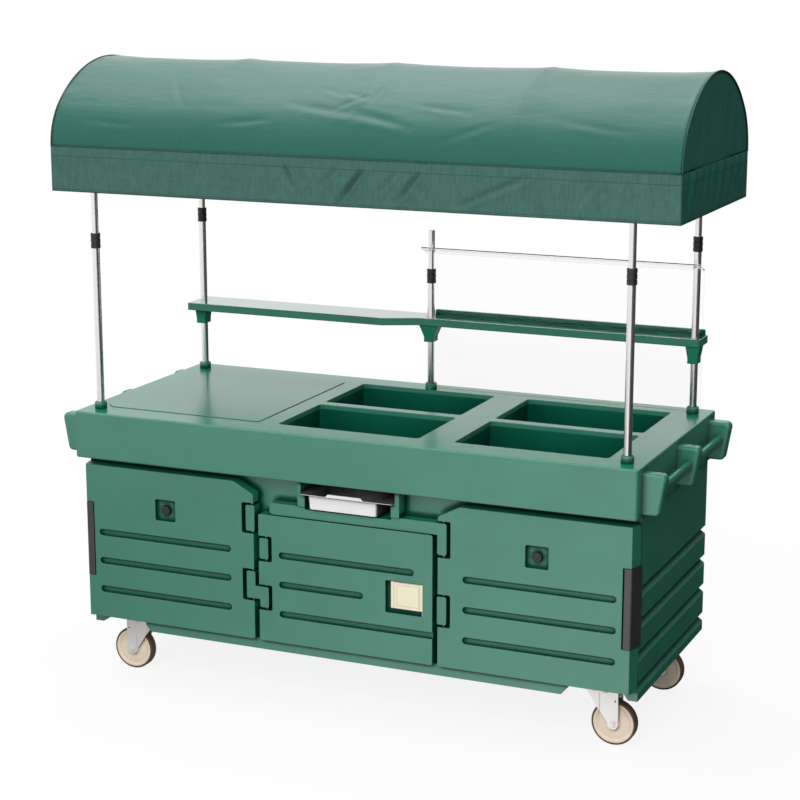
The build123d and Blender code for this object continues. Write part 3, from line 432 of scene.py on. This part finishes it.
roof_cloth = canvas("canopy_roof", (0.014, 0.104, 0.081), 0.46, 0.3, sheen=0.28, weave=0.04, crumple=0.34)
end_cloth = canvas("canopy_end", (0.014, 0.124, 0.094), 0.60, 0.2,
                   weave=0.10, crumple=1.0, creased=(3, 9, 1.6))
valance_cloth = canvas("canopy_valance", (0.036, 0.117, 0.096), 0.58, 0.60, streak=0.20,
                       stitched=STITCH_ROWS, reach=0.035)
valance_end_cloth = canvas("canopy_valance_end", (0.010, 0.118, 0.088), 0.62, 0.25, streak=0.16,
                           crumple=0.90, stitched=STITCH_ROWS, reach=0.045, creased=(3, 16, 5))
piping_cloth = canvas("canopy_piping", (0.012, 0.085, 0.062), 0.5, 0.4, weave=0.2, streak=0.1, crumple=0.1)
cloths = (roof_cloth, end_cloth, valance_cloth, valance_end_cloth, piping_cloth)
print("canvas finishes:", [mat.name for mat in cloths])

# %% [markdown]
# Each CAD node carries the name of its material slot in the record. Materials could be set
# node by node, but a slot covers all the nodes of one stuff. A few nodes that look
# different from the rest of their slot are named apart.

# %% Materials on the CAD nodes
by_slot = {
    "green_shell": green,
    "steel_tube": tube_steel,
    "black_plastic": black,
    "hinge_steel": zinc,
    "caster_steel": zinc,
    "wheel_disc": tan,
    "wheel_tread": tread_in_painted_shade,
    "gasket_rubber": rubber,
    "white_plastic": tray_white,
    "cream_plastic": cream,
    "clear_sheet": clear,
    "green_canvas": roof_cloth,
}
by_node = {
    "lower_guard": clear_low,
    "counter_top": green_deck,
    "counter_panel": green_deck,
    "serving_shelf": green_shelf,
    "left_latch": latch_grey,
    "right_latch": latch_grey,
    "middle_bracket": green_bracket,
    "rear_left_bracket": green_bracket,
    "rear_right_bracket": green_bracket,
    "left_well_liner": green_well,
    "right_well_liner": green_well,
}
for part in frame["record"]["subparts"]:
    materials = nodes[part["node"]].data.materials
    materials.clear()
    materials.append(by_node.get(part["node"], by_slot[part["material_slot"]]))

# %% [markdown]
# A cloth is cut flat and then pulled over its frame. The pieces are made in the same way:
# each starts as a flat bmesh grid, whose points are then laid in their place, and a
# Solidify modifier gives it the cloth's thickness. Each is made at its real place in
# metres, so its object stays at the origin.

# %% Cloth helpers
CLOTH_THICKNESS = 0.0012
made = []


def keep(name, bm, material):
    """A finished bmesh as an object that rides on the canopy."""
    bmesh.ops.recalc_face_normals(bm, faces=bm.faces)
    mesh = bpy.data.meshes.new(name)
    bm.to_mesh(mesh)
    bm.free()
    for poly in mesh.polygons:
        poly.use_smooth = True
    mesh.materials.append(material)
    obj = bpy.data.objects.new(name, mesh)
    bpy.context.scene.collection.objects.link(obj)
    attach(obj, "canopy")
    made.append(obj)
    return obj


def laid_grid(columns, rows, place, weld=False):
    """A grid whose point (column, row) is laid at place(column, row)."""
    bm = bmesh.new()
    bmesh.ops.create_grid(bm, x_segments=columns - 1, y_segments=rows - 1, size=1.0)
    for index, vert in enumerate(bm.verts):
        vert.co = place(index % columns, index // columns)
    if weld:
        bmesh.ops.remove_doubles(bm, verts=bm.verts, dist=1e-6)
    return bm


def thicken(obj, thickness):
    """Gives a sheet its thickness, behind its face, as plain mesh."""
    mod = obj.modifiers.new("thickness", "SOLIDIFY")
    mod.thickness = thickness
    mod.offset = -1.0
    thin = obj.data
    finished = obj.evaluated_get(bpy.context.evaluated_depsgraph_get())
    thick = bpy.data.meshes.new_from_object(finished)
    obj.modifiers.remove(mod)
    obj.data = thick
    bpy.data.meshes.remove(thin)


# %% [markdown]
# The canopy is a barrel: its section rises in two side arcs and meets one flatter arc over
# the crown. A curve object could be bevelled along it, but the cloth needs a point at every
# few millimetres for its folds, so the section is worked out as arcs, with the direction
# that faces out at each point. The cover's box gives the sizes.

# %% The canopy's arch
cover_low, cover_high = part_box("canopy_cover")
HALF_LENGTH = round(cover_high.x, 4)
HALF_DEPTH = round(cover_high.y, 4)
HEM = round(cover_low.z, 4)
SPRING = 1.8245             # the height where the arch begins
RISE = round(cover_high.z - SPRING, 4)
SIDE = 0.200                # radius of the side arcs
CROWN = ((HALF_DEPTH - SIDE) ** 2 + RISE * RISE - SIDE * SIDE) / (2 * (RISE - SIDE))


def arch_path(inset, count):
    """Points (y, z, out_y, out_z, share) along the arch from front to rear, and its length."""
    side_radius = SIDE - inset
    crown_radius = CROWN - inset
    side_y = HALF_DEPTH - SIDE
    crown_z = RISE - CROWN
    meet = math.atan2(-crown_z, side_y)
    side_arc = side_radius * meet
    total = 2 * (side_arc + crown_radius * (math.pi / 2 - meet))
    points = []
    for i in range(count):
        s = total * i / (count - 1)
        rear = s > total / 2
        t = total - s if rear else s
        if t <= side_arc:
            turn = t / side_radius
            y = -(side_y + side_radius * math.cos(turn))
            z = side_radius * math.sin(turn)
        else:
            turn = meet + (t - side_arc) / crown_radius
            y = -crown_radius * math.cos(turn)
            z = crown_z + crown_radius * math.sin(turn)
        out_y = -math.cos(turn)
        if rear:
            y, out_y = -y, -out_y
        points.append((y, SPRING + z, out_y, math.sin(turn), s / total))
    return points, total


roof_arch, arch_length = arch_path(0.0006, 141)
print("the arch is", round(arch_length, 4), "m long, with a crown radius of", round(CROWN, 4), "m")

# %% [markdown]
# The roof's cloth is pulled over five hoops. It sags a little between them, small
# wrinkles gather near them, and a few longer folds run over it, most of them near the middle
# hoop. Cloth simulation could find such folds, but not in chosen places. So the folds are
# listed, and each is a soft trough with a raised side.

# %% Folds in the roof
HOOPS = (-1.063, -0.537, 0.0, 0.537, 1.063)
SAG = 0.0085                # how far the cloth sinks between two hoops
SAG_REACH = 0.085           # distance from a hoop at which most of the sag is reached
HOOP_GAP = 0.0011           # room between the tight cloth and a hoop
SWELL, SLANT, CREASE = 0.0030, 0.0022, 0.0011      # heights of broad, slanting and fine waves
BULGE = 0.0012              # the most that the cloth may stand out past its tight shape

# Each fold's start and end as (along the cart, share of the arch), its width and its depth
ROOF_FOLDS = (
    ((-0.225, 0.185), (0.135, 0.120), 0.0150, 0.0038),
    ((-0.135, 0.262), (-0.055, 0.222), 0.0100, 0.0030),
    ((-0.055, 0.240), (0.025, 0.212), 0.0105, 0.0036),
    ((-0.065, 0.172), (0.025, 0.225), 0.0100, 0.0030),
    ((-0.035, 0.172), (0.205, 0.105), 0.0140, 0.0030),
    ((0.040, 0.190), (0.075, 0.315), 0.0100, 0.0026),
    ((-0.935, 0.088), (-0.785, 0.078), 0.0090, 0.0026),
    ((-0.455, 0.095), (-0.285, 0.118), 0.0110, 0.0026),
    ((0.195, 0.196), (0.385, 0.170), 0.0110, 0.0024),
    ((0.700, 0.150), (0.900, 0.115), 0.0120, 0.0022),
    ((-0.700, 0.300), (-0.620, 0.170), 0.0120, 0.0020),
    ((0.300, 0.060), (0.470, 0.130), 0.0120, 0.0020),
)


def fold_depth(x, s, folds, length):
    """Depth of straight folds with soft ends, at (x, s) on a sheet of the given length."""
    total = 0.0
    for (x0, s0), (x1, s1), wide, deep in folds:
        run_x, run_s = x1 - x0, (s1 - s0) * length
        px, ps = x - x0, (s - s0) * length
        size = run_x * run_x + run_s * run_s
        t = max(0.0, min(1.0, (px * run_x + ps * run_s) / size))
        off = math.hypot(px - t * run_x, ps - t * run_s)
        side = (px * run_s - ps * run_x) / math.sqrt(size)
        taper = math.sin(math.pi * (0.08 + 0.84 * t)) ** 0.7
        trough = math.exp(-(off / wide) ** 2)
        crest = math.exp(-((side - 1.8 * wide) / (1.3 * wide)) ** 2)
        crest *= math.exp(-(max(0.0, off - 2 * wide) / wide) ** 2)
        total += deep * taper * (trough - 0.45 * crest)
    return total


def wrinkle(x, s):
    """How far the roof's cloth lies inside its tight shape."""
    if not 0 < s < 1:
        return 0.0
    gap = min(abs(x - hoop) for hoop in HOOPS)
    crown = math.sin(math.pi * s) ** 0.6
    near = math.exp(-(gap / 0.12) ** 2)
    slant = noise.noise(Vector((x * 4.0 + s * 5.0, s * 9.0 - x * 2.5, 2.7)))
    fine = noise.noise(Vector((x * 13.0 + s * 14.0, s * 17.0 - x * 6.0, 8.1)))
    broad = noise.noise(Vector((x * 2.0 + s, s * 4.0, 5.5)))
    depth = SAG * (1 - math.exp(-gap / SAG_REACH)) * crown
    depth += crown * (SWELL * broad + SLANT * slant + CREASE * fine * (0.5 + near))
    depth += fold_depth(x, s, ROOF_FOLDS, arch_length)
    room = HOOP_GAP + max(0.0, gap - 0.004) * 0.9      # no deeper than the hoops leave room for
    return max(-BULGE, min(depth, room))


print(len(ROOF_FOLDS), "folds over", len(HOOPS), "hoops")

# %% [markdown]
# The roof is one sheet, as it is on the cart. Its two long edges are tucked down behind the
# valance, so that no gap shows at the seam from below.

# %% Roof
TUCK = 0.028
TUCK_ROWS = 4
ROOF_COLUMNS = 321
END_GAP = 0.002             # the piping covers this much of each end
ROOF_LENGTH = 2 * (HALF_LENGTH - END_GAP)
tuck_drops = [TUCK * (k + 1) / TUCK_ROWS for k in range(TUCK_ROWS)]
tuck_front = [(roof_arch[0][0], SPRING - drop, -1.0, 0.0, 0.0) for drop in reversed(tuck_drops)]
tuck_rear = [(roof_arch[-1][0], SPRING - drop, 1.0, 0.0, 1.0) for drop in tuck_drops]
roof_rows = tuck_front + roof_arch + tuck_rear


def roof_place(column, row):
    y, z, out_y, out_z, s = roof_rows[row]
    x = -HALF_LENGTH + END_GAP + ROOF_LENGTH * column / (ROOF_COLUMNS - 1)
    depth = wrinkle(x, s)
    return (x, y - out_y * depth, z - out_z * depth)


roof = keep("canopy_roof", laid_grid(ROOF_COLUMNS, len(roof_rows), roof_place), roof_cloth)
thicken(roof, CLOTH_THICKNESS)
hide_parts("canopy_cover")
print("roof cut from", round(arch_length + 2 * TUCK, 3), "x", round(ROOF_LENGTH, 3), "m")

# %% [markdown]
# The valance is one ribbon that hangs from the seam all the way round. On the long sides it
# is nearly flat, with a few slanting folds, which are listed as the roof's are.

# %% The valance's folds
SEAM = SPRING + 0.0015
DROP = SEAM - HEM
HALF_Y = HALF_DEPTH + 0.0022        # the ribbon hangs outside the roof's tuck
HALF_X = HALF_LENGTH + 0.0005

# Start and end as (along the cart, share of the drop from the seam), width, depth
FRONT_FOLDS = (
    ((0.080, 0.02), (-0.035, 0.97), 0.0075, 0.0125),
    ((0.270, 0.05), (0.170, 0.85), 0.0075, 0.0100),
    ((0.605, 0.18), (0.370, 0.87), 0.0090, 0.0065),
    ((-0.220, 0.10), (-0.185, 0.62), 0.0065, 0.0075),
    ((-0.020, 0.10), (-0.080, 0.55), 0.0065, 0.0050),
    ((0.180, 0.15), (0.110, 0.70), 0.0065, 0.0048),
    ((-0.520, 0.20), (-0.560, 0.80), 0.0080, 0.0034),
    ((0.830, 0.15), (0.760, 0.70), 0.0090, 0.0034),
)
REAR_FOLDS = (
    ((0.300, 0.05), (0.220, 0.90), 0.0085, 0.0060),
    ((-0.400, 0.10), (-0.330, 0.85), 0.0090, 0.0045),
    ((-0.050, 0.10), (-0.110, 0.60), 0.0070, 0.0030),
)


def long_side(x, f, folds):
    """How far the cloth of a long side lies inside at x; f is 0 at the seam and 1 at the hem."""
    ripple = noise.noise(Vector((x * 11.0, f * 1.6, 1.3)))
    ripple += 0.5 * noise.noise(Vector((x * 27.0, f * 3.0, 7.3)))
    depth = fold_depth(x, f, folds, DROP) + 0.0013 * (ripple + 0.4) * min(1.0, f * 3)
    # the rail lies close behind the top of the cloth, so folds stand out there and go in lower down
    outward = -0.0055 * min(1.0, f * 8.0)
    inward = 0.0010 + max(0.0, f - 0.20) * 0.085
    return min(max(outward, depth), inward) * min(1.0, (HALF_X - abs(x)) / 0.02)


print(len(FRONT_FOLDS), "folds in the front,", len(REAR_FOLDS), "in the rear, drop", round(DROP, 4), "m")

# %% [markdown]
# At the two ends the valance is gathered into the seam, and the gathers fade towards the
# straight hem. The canopy's rail lies close behind the cloth there, so the gathers may
# only stand out from it. Noise keeps them from being all alike.

# %% The valance's gathers
GATHERS = 9                 # along each end
GATHER_HEIGHT = 0.0115
RIGHT_SEED, LEFT_SEED = 1.7, 6.3      # where the noise of each end starts


def gather(y, seed, f):
    """How far an end's gathers stand out at y; f is 0 at the seam and 1 at the hem."""
    edge = min(1.0, max(0.0, HALF_Y - abs(y) - 0.008) / 0.045)
    drift = 0.050 * noise.noise(Vector((y * 5.0, seed, 0.4))) + 0.020 * f
    crest = 1.0 - (0.5 + 0.5 * math.sin((y + drift) * GATHERS / HALF_Y * math.pi)) ** 1.5
    reach = 0.60 + 0.75 * noise.noise(Vector((y * 6.0, seed, 3.1)))
    fade = max(0.0, 1.0 - f / max(0.55, min(1.0, reach + 0.35))) ** 0.7
    vary = 0.85 + 0.7 * noise.noise(Vector((y * 9.0, seed, 5.7)))
    return edge * fade * min(1.0, f * 7.0) * (GATHER_HEIGHT * crest * vary - 0.0010)


highest = max(gather(HALF_Y * step / 200, RIGHT_SEED, 0.2) for step in range(-200, 201))
print("the right end's gathers stand out up to", round(highest * 1000, 1), "mm")

# %% [markdown]
# The ribbon is one closed band, laid round the canopy side by side and welded where its
# ends meet. Its end faces take a darker, more crumpled canvas, because the gathers hold
# more shadow than the mesh alone gives.

# %% Valance
LONG_POINTS = 321
END_POINTS = 221
LEVELS = 25
VALANCE_THICKNESS = 0.0014
perimeter = []
for kind, half, count in (("front", HALF_X, LONG_POINTS), ("right", HALF_Y, END_POINTS),
                          ("rear", -HALF_X, LONG_POINTS), ("left", -HALF_Y, END_POINTS)):
    own_points = range(count) if kind in ("front", "rear") else range(1, count - 1)
    perimeter += [(kind, -half + 2 * half * i / (count - 1)) for i in own_points]


def valance_place(column, row):
    f = row / (LEVELS - 1)
    z = SEAM - DROP * f
    kind, t = perimeter[column % len(perimeter)]
    if kind == "front":
        return (t, long_side(t, f, FRONT_FOLDS) - HALF_Y, z)
    if kind == "rear":
        return (t, HALF_Y - long_side(t, f, REAR_FOLDS), z)
    if kind == "right":
        return (HALF_X + gather(t, RIGHT_SEED, f), t, z)
    return (-HALF_X - gather(t, LEFT_SEED, f), t, z)


ribbon = laid_grid(len(perimeter) + 1, LEVELS, valance_place, weld=True)
for face in ribbon.faces:
    nearest = min(abs(vert.co.x) for vert in face.verts)
    face.material_index = 1 if nearest > HALF_X - END_GAP else 0
valance = keep("canopy_valance", ribbon, valance_cloth)
valance.data.materials.append(valance_end_cloth)
thicken(valance, VALANCE_THICKNESS)
half_down = [Vector(valance_place(column, LEVELS // 2)) for column in range(len(perimeter) + 1)]
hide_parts("canopy_cover")

# %% [markdown]
# The two ends are flat cloth panels, cut to the arch. Each is laid in rings that shrink
# from the arch to the middle of its foot, so that its edge follows the arch exactly.
# A filled outline would do for a flat panel, but it would have no points inside to crease.

# %% End panels
RINGS = 40
PANEL_HEM = 0.004           # how far the panel reaches below the arch
PANEL_FOOT = SPRING - PANEL_HEM
PANEL_INSET = 0.0012        # the panel's edge lies inside the roof's cloth
PANEL_X = HALF_LENGTH - 0.0005
FALL_EDGE, FALL_MIDDLE = 0.0015, 0.0080      # how far the panel sinks in, at its edge and beyond it
panel_arch, _ = arch_path(PANEL_INSET, 129)


def end_panel(side, sx):
    """The panel at one end of the canopy; sx is the side's sign along the cart."""

    def panel_place(column, row):
        f = row / (RINGS - 1)
        y, z = panel_arch[column][:2]
        y *= 1 - f
        z = PANEL_FOOT + (z - PANEL_FOOT) * (1 - f)
        crease = noise.noise(Vector((y * 16.0, z * 3.0, 4.0 * sx)))
        crease += 0.4 * noise.noise(Vector((y * 40.0, z * 5.0, 9.0)))
        inner = math.sin(math.pi * min(1.0, max(0.0, f - 0.07) * 1.4)) ** 2
        fall = FALL_EDGE + FALL_MIDDLE * (0.5 + 0.5 * crease) * inner
        return (sx * (PANEL_X - fall), y, z)

    grid = laid_grid(len(panel_arch), RINGS, panel_place, weld=True)
    panel = keep("canopy_end_" + side, grid, end_cloth)
    thicken(panel, CLOTH_THICKNESS)
    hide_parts("canopy_cover")


# The panel at each end, laid in rings from the arch to the middle of its foot
end_panel("left", -1)
end_panel("right", 1)

# %% [markdown]
# A round piping covers the seam between roof and end panel, and a thinner welt runs along
# the valance's seam on the long sides. A bevelled curve would give the same bead. Here the
# grid helper is used once more, closed round the path and filled at both ends.


# %% Piping and welts
def bead(name, path, radius, sides=8):
    """A round bead along a list of points, closed at both ends."""

    def bead_place(column, row):
        before = path[max(row - 1, 0)]
        after = path[min(row + 1, len(path) - 1)]
        along = (after - before).normalized()
        across = along.cross(Vector((1, 0, 0)))
        if across.length < 1e-3:
            across = along.cross(Vector((0, 0, 1)))
        across.normalize()
        turn = 2 * math.pi * (column % sides) / sides
        return path[row] + radius * (math.cos(turn) * across + math.sin(turn) * along.cross(across))

    bm = laid_grid(sides + 1, len(path), bead_place, weld=True)
    bmesh.ops.holes_fill(bm, edges=[edge for edge in bm.edges if edge.is_boundary], sides=0)
    return keep(name, bm, piping_cloth)


PIPING_RADIUS = 0.0026
WELT_RADIUS = 0.0016
WELT_SIDES = 6
WELT_POINTS = 61
WELT_Y = HALF_DEPTH + 0.0020
welt_xs = [-HALF_LENGTH + 2 * HALF_LENGTH * i / (WELT_POINTS - 1) for i in range(WELT_POINTS)]
for side, sx in (("left", -1), ("right", 1)):
    path = [Vector((sx * PANEL_X, y + out_y * PANEL_INSET, z + out_z * PANEL_INSET))
            for y, z, out_y, out_z, _ in panel_arch]
    bead("canopy_piping_" + side, path, PIPING_RADIUS)
for side, sy in (("front", -1), ("rear", 1)):
    bead("canopy_welt_" + side, [Vector((x, sy * WELT_Y, SEAM)) for x in welt_xs], WELT_RADIUS, WELT_SIDES)
print("canopy pieces made:", len(made))

# %% [markdown]
# The cart stands on a plain pale floor. The floor has to be three things at once, and the
# Light Path node picks between them. The camera sees white paint with the cart's shadow on
# it. A glossy reflection sees a studio floor that is pale, and dark beyond the cart's right
# rear corner. Everything else sees a mid grey, so the floor throws little light up on the
# cart. First comes what a reflection sees.

# %% Floor in reflections
FLOOR_SHINE = (0.24, 1.0)           # brightness of the floor in reflections, left and right
RIGHT_REAR = (0.90, 0.44, 0.0)      # the way to the dark part of the floor

floor_paint = new_material("floor_pale", (0.24, 0.24, 0.24), 0.8, 0.0, 0.0)
spot = node(floor_paint, "TexCoord").outputs["Object"]
length = node(floor_paint, "VectorMath")
length.operation = "LENGTH"
feed(floor_paint, length.inputs[0], spot)
distance = length.outputs["Value"]

far = remap(floor_paint, distance, 3.7, 5.0, 0.0, 1.0, "SMOOTHSTEP")
bright = remap(floor_paint, toward(floor_paint, spot, RIGHT_REAR), 0.5, 0.95, 1.0, 0.0, "SMOOTHSTEP")
bright = calc(floor_paint, "MAXIMUM", bright, calc(floor_paint, "MULTIPLY", far, 0.06))
to_right = toward(floor_paint, spot, (1, 0, 0))
across = remap(floor_paint, to_right, -2.0, 0.8, *FLOOR_SHINE, "SMOOTHSTEP")
across = calc(floor_paint, "MAXIMUM", across, far)
reflected = node(floor_paint, "Emission")
feed(floor_paint, reflected.inputs["Strength"], calc(floor_paint, "MULTIPLY", bright, across))
print("floor in reflections from", FLOOR_SHINE[0], "to", FLOOR_SHINE[1])

# %% [markdown]
# The camera sees white paint. White paint alone would turn grey away from the lamps, so
# most of the white is a glow, which grows to the full white at a distance, and the rest
# takes the cart's shadow. The floor itself is a bmesh grid of one face.

# %% Floor
FLOOR_HALF = 30


def mix_shaders(owner, share, first, second):
    """The first shader, with the second one mixed in as far as share says."""
    new = node(owner, "MixShader")
    for socket, value in zip(new.inputs, (share, first, second)):
        feed(owner, socket, value)
    return new.outputs[0]


def seen_directly(owner, light_path):
    """1 for what the camera sees, also through the clear sheets."""
    return calc(owner, "MAXIMUM", light_path["Is Camera Ray"], light_path["Is Transmission Ray"])


white_share = remap(floor_paint, distance, 1.2, 3.0, 0.86, 1.0, "SMOOTHSTEP")
shadowed = node(floor_paint, "BsdfDiffuse", Color=(0.9, 0.9, 0.9, 1)).outputs[0]
white = node(floor_paint, "Emission", Strength=1.0).outputs[0]
light_path = node(floor_paint, "LightPath").outputs
grey = shader(floor_paint).outputs[0]
unseen = mix_shaders(floor_paint, light_path["Is Glossy Ray"], grey, reflected.outputs[0])
seen = mix_shaders(floor_paint, white_share, shadowed, white)
surface = mix_shaders(floor_paint, seen_directly(floor_paint, light_path), unseen, seen)
feed(floor_paint, floor_paint.node_tree.nodes["Material Output"].inputs["Surface"], surface)

bm = bmesh.new()
bmesh.ops.create_grid(bm, x_segments=1, y_segments=1, size=FLOOR_HALF)
floor_mesh = bpy.data.meshes.new("floor")
bm.to_mesh(floor_mesh)
bm.free()
floor_mesh.materials.append(floor_paint)
floor = bpy.data.objects.new("floor", floor_mesh)
bpy.context.scene.collection.objects.link(floor)
print("floor of", 2 * FLOOR_HALF, "x", 2 * FLOOR_HALF, "m")

# %% [markdown]
# The world is the studio's walls and ceiling. To the camera it is plain white. As light it
# is an even, lower level. In reflections it is white with one dark side, as in a studio
# with a black curtain, so that the end wall and the right edges of the tubes stay dark.

# %% Studio walls
AMBIENT = 0.55
DARK_SIDE = (0.85, 0.45, -0.25)     # the way to the curtain, beyond the right rear corner

studio = bpy.data.worlds.new("studio")
bpy.context.scene.world = studio
studio.use_nodes = True
walls = studio.node_tree.nodes["Background"]
walls.inputs["Color"].default_value = (1, 1, 1, 1)


def pick_level(share, first, second):
    """The first strength where share is 0, the second where it is 1."""
    new = node(studio, "Mix")
    for name, value in (("Factor", share), ("A", first), ("B", second)):
        feed(studio, new.inputs[name], value)
    return new.outputs["Result"]


heading = node(studio, "TexCoord").outputs["Generated"]
light_path = node(studio, "LightPath").outputs
curtain = remap(studio, toward(studio, heading, DARK_SIDE), 0.32, 0.56, 1.0, 0.05, "SMOOTHSTEP")
level = pick_level(light_path["Is Glossy Ray"], AMBIENT, curtain)
level = pick_level(seen_directly(studio, light_path), level, 1.0)
feed(studio, walls.inputs["Strength"], level)
print("studio walls light the cart at", AMBIENT)

# %% [markdown]
# Two large soft lamps do the rest: a key lamp in front and above, which sets the doors
# apart from the end wall, and a weaker one overhead, which draws the shine on the roof.
# Large area lamps are used because small ones would give hard shadows.


# %% Lamps
def area_light(name, at, look, size, power):
    lamp = bpy.data.lights.new(name, "AREA")
    lamp.shape = "RECTANGLE"
    lamp.size, lamp.size_y = size
    lamp.energy = power
    obj = bpy.data.objects.new(name, lamp)
    obj.location = at
    obj.rotation_euler = (Vector(look) - Vector(at)).to_track_quat("-Z", "Y").to_euler()
    bpy.context.scene.collection.objects.link(obj)
    return obj


key = area_light("key", at=(1.0, -6.4, 4.5), look=(0.0, 0.0, 1.1), size=(4.6, 3.6), power=340)
key.visible_glossy = False      # seen from behind, the counter would mirror this lamp and glare
top = area_light("top", at=(-1.2, 0.6, 5.6), look=(-0.2, 0.0, 1.0), size=(4.0, 3.0), power=150)
print("lamps in watts:", {lamp.name: lamp.data.energy for lamp in (key, top)})

# %% [markdown]
# The camera stands where the photograph was taken from. It could be set by eye, but its
# place, tilt and lens were solved from the straight edges of the cart, so that every pole
# and door edge falls where it does in the photograph.

# %% Camera
LENS = 91.264
TILT_DOWN = 12.717          # degrees
TURN_LEFT = 23.630          # degrees, because the camera stands to the right of the cart's middle
camera = bpy.data.objects.new("camera", bpy.data.cameras.new("camera"))
camera.data.lens = LENS
camera.data.sensor_width = 36.0
camera.data.clip_end = 100
camera.location = (2.6745, -6.0727, 2.4803)
camera.rotation_euler = (math.radians(90 - TILT_DOWN), 0.0, math.radians(TURN_LEFT))
bpy.context.scene.collection.objects.link(camera)
bpy.context.scene.camera = camera
bpy.context.scene.view_settings.view_transform = "Standard"
print("camera", round(camera.location.length, 2), "m from the cart's foot")

# %% Finish
print("pieces made:", ", ".join(obj.name for obj in made))
